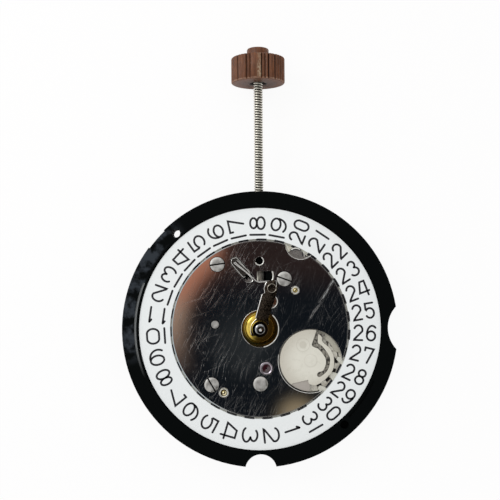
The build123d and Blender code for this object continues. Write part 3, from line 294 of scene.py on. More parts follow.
# Battery: a steel can with a turned face, its pressed cap, and a grey moulded seal between them. A clamp of
# brushed sheet steel holds it down.
def from_middle(distance, angle):
    """A place at a distance and an angle from the middle of the movement, in millimetres and degrees."""
    return (distance * math.cos(math.radians(angle)), distance * math.sin(math.radians(angle)))


def resin_finish(name, dark, light, gloss, scale=8.0, depth=0.006, edge=0.05):
    """A moulded plastic with a fine cloudy grain."""
    material, tree, shader, place = finish(name, dark, gloss)
    cloud = grain(tree, place, scale, 4.0, 0.6)
    coat(tree, shader, tint(tree, cloud, dark, light),
         spread(tree, cloud, 0.3, 0.7, gloss * 0.85, gloss * 1.15))
    relief(tree, shader, cloud, depth, 0.5, edge=edge)
    return material


battery_centre = from_middle(7.48, 232)
battery_steel = metal("battery_steel", (0.50, 0.50, 0.49), 0.30, 0.004, rings=battery_centre, coarse=0.10)
dress(battery_steel, "battery_can")
dress(plain_steel, "battery_cap")
dress(resin_finish("seal_rubber", (0.14, 0.14, 0.15), (0.20, 0.20, 0.21), 0.6), "battery_gasket")
dress(metal("clamp_steel", (0.74, 0.72, 0.68), 0.26, 0.003, -38.0, coarse=0.3), "battery_clamp")


# Back screws: turned steel with sawn slots, which fasten the circuit board, the train bridge and the
# battery's clamp. The floor of each slot is painted dark as shade.
def reopened(material):
    """A finish opened again: its node tree, its shader, its colour so far and its place in millimetres."""
    tree = material.node_tree
    shader = tree.nodes["Principled BSDF"]
    return tree, shader, shader.inputs["Base Color"].links[0].from_socket, millimetres(tree)


slot_blur = 0.012
for screw, slot_floor in (("board_screws", 0.05), ("bridge_screws", 0.105), ("clamp_screw", 0.015)):
    slotted = metal(screw + "_steel", (0.66, 0.65, 0.62), 0.24, 0.002, 80.0)
    tree, shader, face_tone, place = reopened(slotted)
    # Painted shade: the floor of the slot is near black.
    slot_floor_shade = spread(tree, axes(tree, place)[2], slot_floor, slot_floor + slot_blur)
    coat(tree, shader, tint(tree, slot_floor_shade, face_tone, (0.03, 0.028, 0.025)))
    dress(slotted, screw)

# Train bridge: a flat pressed metal plate, brushed along its length, with ruby bearings pushed into its holes
# for the arbors of the train.
dress(metal("brushed_bridge", (0.66, 0.62, 0.54), 0.32, 0.003, 35.0, coarse=0.22), "train_bridge")
ruby, tree, shader, place = finish("ruby", (0.55, 0.01, 0.06), 0.08)
shader.inputs["Transmission Weight"].default_value = 0.25
shader.inputs["IOR"].default_value = 1.76
coat(tree, shader, tint(tree, grain(tree, place, 6.0), (0.30, 0.006, 0.05), (0.62, 0.03, 0.10)))
relief(tree, shader, grain(tree, place, 9.0), 0.002, 0.3, edge=0.04)
dress(ruby, "bridge_jewels")

# Step motor: a stator and a coil core of soft iron sheet, and the small grey magnet that turns between the
# stator's poles.
dress(metal("soft_iron", (0.42, 0.41, 0.40), 0.45, 0.001, 10.0), "stator", "coil_core")
dress(metal("magnet_grey", (0.30, 0.29, 0.29), 0.5), "rotor_magnet")

# Coil: enamelled copper wire wound on the core between two end plates of dark resin. The bands of the finish
# are the turns of the wire.
copper, tree, shader, place = finish("enamelled_copper", (0.62, 0.24, 0.10), 0.28, 1.0)
along_coil = add(tree, "Mapping", ("Vector", place), ("Rotation", (0, 0, math.radians(-35.0)))).outputs[0]
wound = add(tree, "TexWave", ("Vector", along_coil), ("Scale", 9.0), ("Distortion", 0.6), wave_type="BANDS",
            bands_direction="X").outputs["Fac"]
coat(tree, shader, tint(tree, wound, (0.36, 0.11, 0.04), (0.74, 0.32, 0.15)))
relief(tree, shader, wound, 0.02, 0.8)
dress(copper, "coil_winding")
dress(resin_finish("coil_ends", (0.03, 0.028, 0.025), (0.05, 0.046, 0.04), 0.5), "coil_end_plates")


# Circuit board: green laminate with gilt copper tracks and round pads on its outer face, lumps of solder,
# a chip under cast epoxy, and the quartz crystal in its steel can.
def plate_from(outline, low, high):
    """A flat piece with an outline in millimetres, between two heights."""
    count = len(outline)
    vertices = [(x, y, low) for x, y in outline] + [(x, y, high) for x, y in outline]
    faces = [tuple(range(count))[::-1], tuple(range(count, 2 * count))]
    faces += [(i, (i + 1) % count, count + (i + 1) % count, count + i) for i in range(count)]
    return vertices, faces


def together(*shapes):
    """Several shapes in one mesh."""
    vertices, faces = [], []
    for more_vertices, more_faces in shapes:
        start = len(vertices)
        vertices += list(more_vertices)
        faces += [tuple(start + i for i in face) for face in more_faces]
    return vertices, faces


def arc(centre, radius, start, end, steps):
    """Points of a circle's arc, in millimetres and degrees."""
    return [(centre[0] + radius * math.cos(math.radians(start + (end - start) * i / steps)),
             centre[1] + radius * math.sin(math.radians(start + (end - start) * i / steps)))
            for i in range(steps + 1)]


def ring_piece(centre, outer, inner, start, end, steps, low, high):
    """A flat piece of a ring."""
    outline = arc(centre, outer, start, end, steps) + arc(centre, inner, end, start, steps)
    return plate_from(outline, low, high)


def turned(profile, place=(0.0, 0.0), count=64, closed=False):
    """A piece turned on a lathe, from distances and heights in millimetres."""
    vertices, rows = [], []
    for distance, height in profile:
        if distance < 1e-6:
            rows.append([len(vertices)])
            vertices.append((place[0], place[1], height))
            continue
        rows.append(list(range(len(vertices), len(vertices) + count)))
        for i in range(count):
            angle = 2 * math.pi * i / count
            vertices.append((place[0] + distance * math.cos(angle), place[1] + distance * math.sin(angle),
                             height))
    faces = []
    for first, second in list(zip(rows, rows[1:])) + ([(rows[-1], rows[0])] if closed else []):
        for i in range(count):
            j = (i + 1) % count
            corners = [row[k % len(row)] for row, k in ((first, i), (first, j), (second, j), (second, i))]
            faces.append(tuple(dict.fromkeys(corners)))
    return vertices, faces


def block(place, turn, length, width, low, high):
    """A straight bar lying across a place."""
    along = Vector((math.cos(math.radians(turn)), math.sin(math.radians(turn))))
    side = Vector((-along.y, along.x))
    corners = [Vector(place) + along * (length / 2 * a) + side * (width / 2 * b)
               for a, b in ((-1, -1), (1, -1), (1, 1), (-1, 1))]
    return plate_from([(c.x, c.y) for c in corners], low, high)


def part(name, shape, material, body, stands_for=(), edge=0.0, smooth=35.0, free=False):
    """A piece of the movement from a shape in millimetres, with its sharp edges rounded."""
    mesh = bpy.data.meshes.new(name)
    mesh.from_pydata(shape[0], [], shape[1])
    blank = bmesh.new()
    blank.from_mesh(mesh)
    bmesh.ops.recalc_face_normals(blank, faces=blank.faces)
    if edge:
        sharp = [e for e in blank.edges if len(e.link_faces) == 2 and e.calc_face_angle(0) > math.radians(40)]
        bmesh.ops.bevel(blank, geom=sharp, offset=edge, segments=2, profile=0.6, affect="EDGES",
                        clamp_overlap=not free)
    for face in blank.faces:
        face.smooth = True
    bmesh.ops.scale(blank, vec=(0.001, 0.001, 0.001), verts=blank.verts)
    blank.to_mesh(mesh)
    blank.free()
    mesh.set_sharp_from_angle(angle=math.radians(smooth))
    made = bpy.data.objects.new(name, mesh)
    lay_out(made)
    mesh.materials.append(material)
    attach(made, body)
    if stands_for:
        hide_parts(*stands_for)


dress(resin_finish("board_laminate", (0.012, 0.085, 0.035), (0.02, 0.13, 0.055), 0.38, 3.0), "circuit_board")
board_face, track_face, spoke_face, track_half = 0.16, 0.135, 0.136, 0.10
pad_profile = [(0.0, board_face), (0.30, board_face), (0.30, 0.140), (0.27, 0.130), (0.14, 0.130),
               (0.0, 0.120)]
tracks = []
for radius, start, end in ((7.15, -26, 20), (7.15, 32, 88), (7.75, -12, 50), (8.35, 8, 96), (10.75, -28, -10),
                           (10.75, 10, 84), (11.35, 14, 108), (11.80, 24, 70)):
    tracks.append(ring_piece((0, 0), radius + track_half, radius - track_half, start, end, 40, track_face,
                             board_face))
    tracks += [turned(pad_profile, from_middle(radius, angle), 28) for angle in (start, end)]
for radius, angle, length in ((9.3, 22, 3.1), (9.55, 44, 2.4), (9.1, 84, 3.5), (9.0, -20, 3.2),
                              (9.6, 74, 2.3)):
    tracks.append(block(from_middle(radius, angle), angle, length, 2 * track_half, spoke_face, board_face))
part("board_tracks", together(*tracks), metal("gilt_copper", (0.88, 0.64, 0.28), 0.28, 0.002, 20.0),
     "movement")
drop_profile = [(0.0, board_face), (0.42, board_face), (0.42, 0.135), (0.36, 0.10), (0.24, 0.075),
                (0.0, 0.065)]
drops = [turned(drop_profile, from_middle(radius, angle), 32) for radius, angle in (
    (11.0, -31), (7.3, -31), (9.7, 27), (9.7, 12), (9.75, -3), (8.9, 96), (11.2, 60))]
part("solder_joints", together(*drops), metal("solder_tin", (0.72, 0.72, 0.72), 0.22, 0.004, 40.0),
     "movement")
dress(resin_finish("cast_epoxy", (0.010, 0.010, 0.011), (0.022, 0.022, 0.024), 0.5, 20.0), "chip")
dress(plain_steel, "crystal_leads", "quartz_crystal")

# Keyless works: steel stampings that pass the pull of the stem on, and the sliding pinion, which is cut from
# bright steel and shows in its window. They lie between the plate and the cover.
dress(metal("stamped_steel", (0.50, 0.48, 0.45), 0.32), "setting_lever", "lever_pin", "yoke")
pinion_steel = metal("pinion_steel", (0.90, 0.87, 0.76), 0.30)
pinion_steel.node_tree.nodes["Principled BSDF"].inputs["Metallic"].default_value = 0.7
dress(pinion_steel, "sliding_pinion")

# Date disc: a flat ring sprayed matt white, which turns in the plate. Its teeth, one level lower, are left in
# the beige of the resin.
disc_white, tree, shader, place = finish("date_disc_white", (0.84, 0.86, 0.86), 0.45)
speck = grain(tree, place, 5.0, 5.0, 0.6)
paint = tint(tree, speck, (0.84, 0.87, 0.87), (0.90, 0.925, 0.925))
bare = tint(tree, speck, (0.50, 0.48, 0.38), (0.60, 0.58, 0.48))
coat(tree, shader, tint(tree, spread(tree, axes(tree, place)[2], 2.60, 2.54), paint, bare),
     spread(tree, speck, 0.3, 0.7, 0.40, 0.52))
relief(tree, shader, grain(tree, place, 26.0), 0.002, 0.4, edge=0.04)
dress(disc_white, "date_disc")

# Numbers: 1 to 31 in black ink, pad printed on the disc, one to each of its steps. Each digit is drawn with
# round-ended strokes in a box as high as 1 and as wide as box_width.
disc_steps = 31
box_width, digit_height, stroke_width, end_steps, print_height = 0.68, 1.40, 0.19, 8, 2.876
single_width, teen_width, pair_width, wide_pair, four_share = 1.30, 1.14, 0.80, 1.15, 1.18
upright_number, print_turn, print_centre = 18, 0.5, Vector((-0.085, -0.05))


def bow(cx, cy, rx, ry, start, end):
    """Points of a round stroke inside a digit's box."""
    count = max(3, int(abs(end - start) / 12))
    return [(cx + rx * math.cos(math.radians(start + (end - start) * i / count)),
             cy + ry * math.sin(math.radians(start + (end - start) * i / count))) for i in range(count + 1)]


six = [bow(0.34, 0.31, 0.34, 0.31, 0, 360), bow(0.42, 0.42, 0.42, 0.58, 52, 178)]
digit_strokes = {
    "0": [bow(0.34, 0.68, 0.34, 0.32, 0, 180) + bow(0.34, 0.32, 0.34, 0.32, 180, 360) + [(0.68, 0.68)]],
    "1": [[(0.0, 0.0), (0.0, 1.0)]],
    "2": [bow(0.34, 0.70, 0.33, 0.30, 162, -22) + [(0.20, 0.20), (0.04, 0.05), (0.02, 0.0), (0.68, 0.0)]],
    "3": [bow(0.33, 0.76, 0.28, 0.24, 150, -70), bow(0.32, 0.27, 0.35, 0.27, 70, -155)],
    "4": [[(0.54, 0.0), (0.54, 1.0), (0.22, 1.0), (0.0, 0.27), (0.68, 0.27)]],
    "5": [[(0.66, 1.0), (0.04, 1.0), (0.03, 0.60)] + bow(0.33, 0.33, 0.34, 0.33, 138, -148)],
    "6": six,
    "7": [[(0.0, 0.80), (0.0, 1.0), (0.68, 1.0), (0.36, 0.0)]],
    "8": [bow(0.34, 0.77, 0.29, 0.23, 0, 360), bow(0.34, 0.27, 0.34, 0.27, 0, 360)],
    "9": [[(box_width - x, 1 - y) for x, y in stroke] for stroke in six],
}


def print_stroke(points, to_disc):
    """A flat printed line with round ends along some points."""
    half = stroke_width / 2
    rows = []
    for i, point in enumerate(points):
        before = points[max(0, i - 1)]
        after = points[min(len(points) - 1, i + 1)]
        into = Vector((point[0] - before[0], point[1] - before[1]))
        out = Vector((after[0] - point[0], after[1] - point[1]))
        into = into.normalized() if into.length else out.normalized()
        out = out.normalized() if out.length else into
        side = Vector((-(into + out).y, (into + out).x)).normalized()
        wide = half / max(0.5, side.dot(Vector((-into.y, into.x))))
        rows.append((Vector(point) - side * wide, Vector(point) + side * wide))
    first = len(vertices)
    for right, left in rows:
        vertices.extend((to_disc(right), to_disc(left)))
    for a in range(first, first + 2 * len(rows) - 2, 2):
        faces.append((a, a + 2, a + 3, a + 1))
    if (Vector(points[0]) - Vector(points[-1])).length < 1e-6:
        return
    for end, back in ((0, 1), (-1, -2)):
        middle = Vector(points[end])
        way = (middle - Vector(points[back])).normalized()
        base = math.atan2(way.y, way.x)
        start = len(vertices)
        for step in range(end_steps + 1):
            angle = base - math.pi / 2 + math.pi * step / end_steps
            vertices.append(to_disc(middle + Vector((math.cos(angle), math.sin(angle))) * half))
        faces.append(tuple(range(start, start + end_steps + 1)))


def number_layout(text):
    """The digits of a number, each with its width and its distance from the centre."""
    if text == "1":
        return [("1", 0.0, 10.05)]
    if text == "11":
        return [("1", 0.0, 9.17), ("1", 0.0, 10.45)]
    if len(text) == 1:
        return [(text, single_width, 10.08)]
    if text[0] == "1":
        return [("1", 0.0, 8.99), (text[1], teen_width, 10.10)]
    if text[1] == "1":
        return [(text[0], pair_width * wide_pair, 9.70), ("1", 0.0, 10.83)]
    return [(text[0], pair_width, 9.44), (text[1], pair_width, 10.66)]


vertices, faces = [], []
for number in range(1, disc_steps + 1):
    bearing = math.radians(90 - 360 / disc_steps * (number - upright_number) + print_turn)
    outward = Vector((math.cos(bearing), math.sin(bearing)))
    upward = Vector((-outward.y, outward.x))
    for digit, wide, distance in number_layout(str(number)):
        wide *= four_share if digit == "4" else 1.0

        def to_disc(point, distance=distance, outward=outward, upward=upward):
            """A place of the digit laid on the disc."""
            spot = print_centre + outward * (distance + point[0]) + upward * point[1]
            return (spot.x / 1000, spot.y / 1000, print_height / 1000)

        for stroke in digit_strokes[digit]:
            print_stroke([((x / box_width - 0.5) * wide if wide else 0.0, (y - 0.5) * digit_height)
                          for x, y in stroke], to_disc)
        if digit == "1" and number in (1, 11):
            print_stroke([(-0.17, 0.34 * digit_height), (-0.02, 0.5 * digit_height)], to_disc)
numbers_mesh = bpy.data.meshes.new("date_numbers")
numbers_mesh.from_pydata(vertices, [], faces)
numbers = bpy.data.objects.new("date_numbers", numbers_mesh)
lay_out(numbers)
black_ink_and_painted_shade, tree, shader, place = finish("black_ink_and_painted_shade", (0.006, 0.006, 0.009), 0.5)
coat(tree, shader, tint(tree, grain(tree, place, 18.0), (0.004, 0.004, 0.007), (0.014, 0.014, 0.020)))
relief(tree, shader, grain(tree, place, 30.0), 0.002, 0.3)
numbers_mesh.materials.append(black_ink_and_painted_shade)
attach(numbers, "date_disc")

# Painted shadow in the gaps between the date disc's teeth: black strips at the teeth's level and again along
# the disc's inner edge, left out where that edge is in full light or under a window.
gap_shadow_start, gap_shadow_half = 7.35, 3.2
tooth_gap_shadows = []
for i in range(disc_steps):
    middle = gap_shadow_start + 360 / disc_steps * i
    ends = (middle - gap_shadow_half, middle + gap_shadow_half)
    tooth_gap_shadows.append(ring_piece((0.0, 0.0), 8.53, 8.34, *ends, 8, 2.562, 2.575))
    lean = math.cos(math.radians(middle))
    if lean > -0.75 and not 58 < middle < 70 and not 304 < middle < 348:
        tooth_gap_shadows.append(ring_piece((0.0, 0.0), 8.585 + 0.03 * lean, 8.51, *ends, 8, 2.870, print_height))
part("date_disc_gap_shadows", together(*tooth_gap_shadows), black_ink_and_painted_shade, "date_disc")

# Date finger: one white moulding with a springy arm that steps the disc once a day. It has a raised hub, the
# round mark of its gate, and a slot beside the arm whose floor is dark, speckled lighter. Its white is
# painted darker from the hub out to the rim as shade.
wheel_centre, gate_centre, gate_mark = (4.802, -3.071), (4.06, -1.60), (4.076, -1.572)
finger_low, sector_top, finger_top = 2.60, 2.70, 2.78
white_acetal = resin_finish("white_acetal", (0.70, 0.68, 0.59), (0.80, 0.78, 0.69), 0.30, 1.4, 0.004, 0.03)
tree, shader, white, place = reopened(white_acetal)
x, y, z = axes(tree, place)
from_hub = distance_from(tree, x, y, wheel_centre)
from_gate = distance_from(tree, x, y, gate_mark)
# Painted shade: darker from the hub out to the rim.
white = tint(tree, spread(tree, from_hub, 1.2, 3.1, 0.0, 0.62), white, (0.46, 0.42, 0.345))
gate_dip = work(tree, "MAXIMUM", spread(tree, from_gate, 0.40, 0.30, 0.0, 0.30),
                band(tree, from_gate, 0.56, 0.62, 0.70, 0.64, 0.22))
white = tint(tree, gate_dip, white, (0.40, 0.36, 0.28))
white = tint(tree, band(tree, from_hub, 0.52, 0.58, 0.68, 0.62, 0.18), white, (0.42, 0.39, 0.32))
coat(tree, shader, tint(tree, spread(tree, z, 2.725, 2.705), white, (0.42, 0.385, 0.345)))


def flowing(points, count=4):
    """A smooth line through points."""
    line = []
    for i in range(len(points) - 1):
        a, b, c, d = points[max(0, i - 1)], points[i], points[i + 1], points[min(len(points) - 1, i + 2)]
        for step in range(count):
            t = step / count
            line.append(tuple(0.5 * (2 * b[k] + (c[k] - a[k]) * t
                                     + (2 * a[k] - 5 * b[k] + 4 * c[k] - d[k]) * t * t
                                     + (3 * b[k] - a[k] - 3 * c[k] + d[k]) * t ** 3) for k in (0, 1)))
    return line + [tuple(points[-1])]


wheel_rim = arc(wheel_centre, 2.94, 79, 231, 48)
lower_step = [(3.06, -5.24), (4.30, -4.96)]
foot = flowing([(4.55, -4.90), (4.60, -5.20), (4.78, -5.34), (5.20, -5.43), (5.62, -5.27)])
arm_outside = flowing([(5.62, -5.27), (6.16, -4.88), (6.52, -4.50), (6.78, -4.22), (7.00, -3.70),
                       (7.04, -3.20), (6.98, -2.60), (6.82, -2.24), (6.60, -1.87), (6.22, -1.54),
                       (5.92, -1.24), (5.92, -0.90)], 5)
tip = [(5.80, -0.72), (5.58, -0.56), (5.52, -0.72)]
arm_inside = flowing([(5.52, -0.72), (5.50, -1.06), (5.54, -1.42), (5.86, -1.66), (6.18, -2.04),
                      (6.44, -2.42), (6.62, -2.76), (6.66, -3.18), (6.54, -3.72), (6.30, -4.16),
                      (5.96, -4.45), (5.78, -4.58)], 5)
slot_end = flowing([(5.78, -4.58), (5.62, -4.64), (5.44, -4.56), (5.42, -4.32), (5.58, -4.16)])
body_side = flowing([(5.58, -4.16), (5.86, -4.10), (6.04, -3.94), (6.22, -3.50), (6.26, -3.05), (6.12, -2.68),
                     (5.86, -2.31), (5.50, -1.95), (5.08, -1.78), (4.94, -1.62), (4.92, -1.56)], 5)
neck = [(5.08, -1.08), (5.30, -0.46), (5.36, -0.34)]
outline = (wheel_rim + lower_step + foot + arm_outside[1:] + tip + arm_inside[1:] + slot_end[1:]
           + body_side[1:] + neck)
lower_sector = arc(wheel_centre, 2.94, 231, 268, 12) + [(4.72, -4.5), (4.0, -4.6), (3.06, -5.0)]
hub = turned([(0.0, 2.796), (0.20, 2.796), (0.26, 2.786), (0.46, 2.796), (0.54, 2.796), (0.60, 2.782),
              (0.62, 2.75)], wheel_centre, 48)
gate = turned([(0.0, 2.790), (0.28, 2.796), (0.34, 2.784), (0.56, 2.786), (0.62, 2.796), (0.70, 2.782),
               (0.71, 2.75)], gate_centre, 48)
finger = together(plate_from(outline, finger_low, finger_top),
                  plate_from(lower_sector, finger_low, sector_top), hub, gate)
part("date_finger_moulding", finger, white_acetal, "date_wheel", ("date_finger",), edge=0.02,
     free=True)
slot_shade, tree, shader, place = finish("moulded_slot_floor", (0.05, 0.045, 0.04), 0.6)
speck = spread(tree, grain(tree, place, 3.2, 3.0, 0.7), 0.40, 0.60)
coat(tree, shader, tint(tree, speck, (0.035, 0.032, 0.026), (0.34, 0.32, 0.27)))
relief(tree, shader, speck, 0.02, 0.6)
floor_edge = arc(wheel_centre, 2.13, -78, 58, 30) + arc(wheel_centre, 2.80, 60, 84, 12)
floor_edge += arc(wheel_centre, 1.30, 80, -70, 20)
part("date_finger_slot_floor", plate_from(floor_edge, 2.50, 2.56), slot_shade, "date_wheel")

# Date wheel gear: ivory resin with plain teeth under the finger. The gaps between its teeth are painted black
# as shade where nothing lies over them, as are a thin line near its rim and the gear beyond the finger's rim,
# and one patch of it is rough.
gear_shade, tree, shader, place = finish("date_gear_resin", (0.55, 0.53, 0.46), 0.4)
x, y, z = axes(tree, place)
outwards = distance_from(tree, x, y, wheel_centre)
speck = grain(tree, place, 5.0, 4.0)
pale = tint(tree, speck, (0.88, 0.84, 0.73), (0.96, 0.93, 0.82))
bearing = work(tree, "ARCTAN2", work(tree, "SUBTRACT", y, wheel_centre[1]),
               work(tree, "SUBTRACT", x, wheel_centre[0]))
first_tooth, teeth_per_radian = 0.035, 15.6
teeth = work(tree, "COSINE", times(tree, work(tree, "ADD", bearing, first_tooth), teeth_per_radian))
# Painted shade: black between the teeth where nothing lies over them, and in a thin line near the rim.
painted_gap_shade = times(tree, spread(tree, teeth, -0.10, 0.30), spread(tree, outwards, 2.70, 2.60))
painted_gap_shade = work(tree, "MAXIMUM", painted_gap_shade, spread(tree, outwards, 2.40, 2.34))
painted_gap_shade = times(tree, painted_gap_shade, band(tree, bearing, -1.40, -1.34, 0.16, 0.08))
painted_line_shade = times(tree, band(tree, outwards, 2.62, 2.66, 2.78, 2.74),
                 band(tree, bearing, -0.12, -0.02, 0.80, 0.55))
rough_patch = times(tree, band(tree, outwards, 2.00, 2.06, 2.62, 2.54),
                    band(tree, bearing, 0.30, 0.40, 1.02, 0.92),
                    spread(tree, grain(tree, place, 3.2, 3.0, 0.7), 0.42, 0.58))
pale = tint(tree, work(tree, "MAXIMUM", painted_gap_shade, painted_line_shade), pale, (0.012, 0.010, 0.008))
pale = tint(tree, rough_patch, pale, (0.10, 0.09, 0.07))
# Painted shade: black beyond the finger's rim.
coat(tree, shader, tint(tree, spread(tree, outwards, 2.98, 3.02), pale, (0.012, 0.012, 0.012)))
relief(tree, shader, speck, 0.004, 0.4)
dress(gear_shade, "date_wheel_gear")

# Date jumper and corrector: the beige moulded arm whose nose holds the disc, with its steel screw, and the
# stamped steel corrector that swings under its own window.
beige = resin_finish("beige_acetal", (0.44, 0.42, 0.34), (0.56, 0.54, 0.45), 0.4, 3.0)
dress(beige, "date_jumper")
dress(plain_steel, "jumper_screw")
dress(metal("corrector_steel", (0.62, 0.60, 0.57), 0.30, 0.002, 8.0), "date_corrector")


# Cover plate: mirror-polished steel, held by three slotted screws. Handling has left hairline scratches in
# sheaves and a wiped smear at the right, and its rim on the left is painted lighter and duller as a
# highlight.
def hairlines(tree, place, turn, length, width, few, seed):
    """Long fine scratches, one in some of the long narrow cells that lie along one direction."""
    lying = add(tree, "Mapping", ("Vector", place), ("Rotation", (0, 0, math.radians(-turn))),
                ("Location", (seed, seed * 1.7, 0)), vector_type="POINT").outputs[0]
    sway = add(tree, "TexNoise", ("Vector", lying), ("Scale", 0.28), ("Detail", 1.0)).outputs["Color"]
    sway = add(tree, "VectorMath", (0, sway), (1, (0.0, 0.4, 0.0)), operation="MULTIPLY").outputs[0]
    lying = add(tree, "VectorMath", (0, lying), (1, sway), operation="ADD").outputs[0]
    cells = add(tree, "VectorMath", (0, lying), (1, (1 / length, 1 / width, 0.0)),
                operation="MULTIPLY").outputs[0]
    cell = add(tree, "TexVoronoi", ("Vector", cells), ("Scale", 1.0), ("Randomness", 1.0),
               voronoi_dimensions="2D")
    chosen = add(tree, "SeparateColor", (0, cell.outputs["Color"]))
    return times(tree, spread(tree, cell.outputs["Distance"], 0.40, 0.10),
                 work(tree, "GREATER_THAN", chosen.outputs[0], 1 - few),
                 spread(tree, chosen.outputs[1], 0.0, 1.0, 0.02, 0.24))


mirror, tree, shader, place = finish("mirror_steel", (0.62, 0.60, 0.58), 0.05, 1.0)
scratches = hairlines(tree, place, 63.0, 4.4, 0.050, 0.11, 3.0)
for turn, length, width, few, seed in ((79.0, 3.4, 0.046, 0.09, 11.0), (50.0, 3.2, 0.050, 0.09, 23.0),
                                       (118.0, 3.2, 0.045, 0.03, 37.0), (88.0, 0.6, 0.060, 0.12, 51.0),
                                       (66.0, 2.4, 0.055, 0.09, 64.0), (20.0, 5.0, 0.045, 0.03, 75.0)):
    scratches = work(tree, "MAXIMUM", scratches, hairlines(tree, place, turn, length, width, few, seed))
x, y, z = axes(tree, place)
scratches = times(tree, scratches, spread(tree, grain(tree, place, 0.30, 3.0, 0.5), 0.35, 0.62, 0.35, 1.0),
                  spread(tree, x, 4.5, -1.5, 0.45, 1.0))
across_smear = work(tree, "SUBTRACT", times(tree, x, 0.848), times(tree, y, 0.530))
smear = spread(tree, work(tree, "ABSOLUTE", work(tree, "SUBTRACT", across_smear, 3.55)), 0.21, 0.0)
smear = times(tree, smear, spread(tree, y, 0.2, 2.2),
              spread(tree, grain(tree, place, 3.0, 4.0, 0.7, 58.0, (0.5, 5.0, 1.0)), 0.40, 0.66))
# Painted highlight: the rim on the left is lighter and duller.
left_rim_highlight = times(tree, spread(tree, distance_from(tree, x, y, (0, 0)), 8.27, 8.36),
                  spread(tree, x, -2.0, -5.0, 0.12, 0.85))
marks_and_rim_highlight = work(tree, "MAXIMUM", work(tree, "MAXIMUM", scratches, times(tree, smear, 0.50)), left_rim_highlight)
coat(tree, shader, tint(tree, marks_and_rim_highlight, (0.62, 0.60, 0.58), (0.49, 0.57, 0.60)),
     spread(tree, marks_and_rim_highlight, 0.0, 1.0, 0.05, 0.50, soft=False),
     spread(tree, marks_and_rim_highlight, 0.0, 0.6, 1.0, 0.25, soft=False))
relief(tree, shader, scratches, 0.002, 0.12, edge=0.05)
dress(mirror, "cover_plate")


# Screws, stud and pin of the cover plate: turned steel, faced flat, with a mottled satin, and painted near
# black as shade below the flat face. A dark wire round each, where it sinks into the plate, is a painted
# shadow. The slots of the three screws are sawn.
def cut_away(blank, cutter):
    """A shape with another shape cut out of it."""
    pieces = []
    for name, shape in (("blank", blank), ("cutter", cutter)):
        mesh = bpy.data.meshes.new(name)
        mesh.from_pydata(shape[0], [], shape[1])
        clean = bmesh.new()
        clean.from_mesh(mesh)
        bmesh.ops.recalc_face_normals(clean, faces=clean.faces)
        clean.to_mesh(mesh)
        clean.free()
        made = bpy.data.objects.new(name, mesh)
        lay_out(made)
        pieces.append(made)
    cut = pieces[0].modifiers.new("cut", "BOOLEAN")
    cut.operation = "DIFFERENCE"
    cut.object = pieces[1]
    cut.solver = "EXACT"
    result = pieces[0].evaluated_get(bpy.context.evaluated_depsgraph_get()).to_mesh()
    vertices = [tuple(v.co) for v in result.vertices]
    faces = [tuple(f.vertices) for f in result.polygons]
    for made in pieces:
        bpy.data.objects.remove(made)
    return vertices, faces


def round_walls(steps, rings):
    """The faces between rings of points that follow one another, closed at both ends."""
    faces = []
    for row in range(rings - 1):
        for k in range(steps):
            a, b = row * steps + k, row * steps + (k + 1) % steps
            faces.append((a, b, b + steps, a + steps))
    return faces + [tuple(range(steps))[::-1], tuple(range(steps * (rings - 1), steps * rings))]


def wire(points, radius, height, count=8):
    """A round wire lying along points."""
    vertices = []
    for i, point in enumerate(points):
        before, after = Vector(points[max(0, i - 1)]), Vector(points[min(len(points) - 1, i + 1)])
        way = (after - before).normalized()
        for k in range(count):
            angle = 2 * math.pi * k / count
            side = Vector((-way.y, way.x)) * math.cos(angle) * radius
            vertices.append((point[0] + side.x, point[1] + side.y, height + math.sin(angle) * radius))
    return vertices, round_walls(count, len(points))


screw_steel = metal("screw_steel", (0.60, 0.59, 0.56), 0.38, 0.003, 80.0, edge=0.02)
tree, shader, bright, place = reopened(screw_steel)
mottle = grain(tree, place, 1.6)
# Painted shade: below the flat face, in the slots and round the heads' edges, the steel is near black.
face_above_shade = spread(tree, axes(tree, place)[2], 2.845, 2.875)
coat(tree, shader, tint(tree, face_above_shade, (0.01, 0.009, 0.008), bright),
     metal=spread(tree, mottle, 0.35, 0.65, 0.35, 0.95))
relief(tree, shader, mottle, 0.030, 0.7, edge=0.02)
seat = 2.81
screw_profile = [(0.0, 2.20), (0.40, 2.20), (0.40, seat), (0.69, seat), (0.69, seat + 0.09),
                 (0.672, seat + 0.125), (0.64, seat + 0.142), (0.40, seat + 0.152), (0.0, seat + 0.156)]
screw_turns = {(-4.04, 6.14): 8.0, (2.34, 4.72): -20.0, (-4.63, -5.29): -60.0}
slot_length, slot_width, slot_low, slot_high = 2.0, 0.15, seat + 0.02, seat + 0.5
stud_place, pin_place, shadow_ring_radius, pin_shadow_ring_radius, shadow_ring_width = (0.02, -5.24), (-4.27, 0.41), 0.715, 0.405, 0.028
screws = [cut_away(turned(screw_profile, where, 72),
                   block(where, turn, slot_length, slot_width, slot_low, slot_high))
          for where, turn in screw_turns.items()]
part("cover_screw_heads", together(*screws), screw_steel, "movement", ("cover_screws",),
     edge=0.012)
# Painted shadow: a thin dark wire round each screw, the stud and the pin, where each sits in the plate.
shadow_rings = [wire(arc(where, radius, 0, 360, 60), shadow_ring_width, 2.808) for where, radius in (
    *((where, shadow_ring_radius) for where in (*screw_turns, stud_place)), (pin_place, pin_shadow_ring_radius))]
part("screw_shadow_rings", together(*shadow_rings), black_resin, "movement")
part("cover_stud_head", turned(screw_profile, stud_place, 72), screw_steel, "movement",
     ("cover_stud",), edge=0.012)
pin_profile = [(0.0, 2.1), (0.38, 2.1), (0.38, 2.845), (0.35, 2.865), (0.0, 2.875)]
part("locating_pin_end", turned(pin_profile, pin_place, 48), screw_steel, "movement",
     ("locating_pin",), smooth=20)

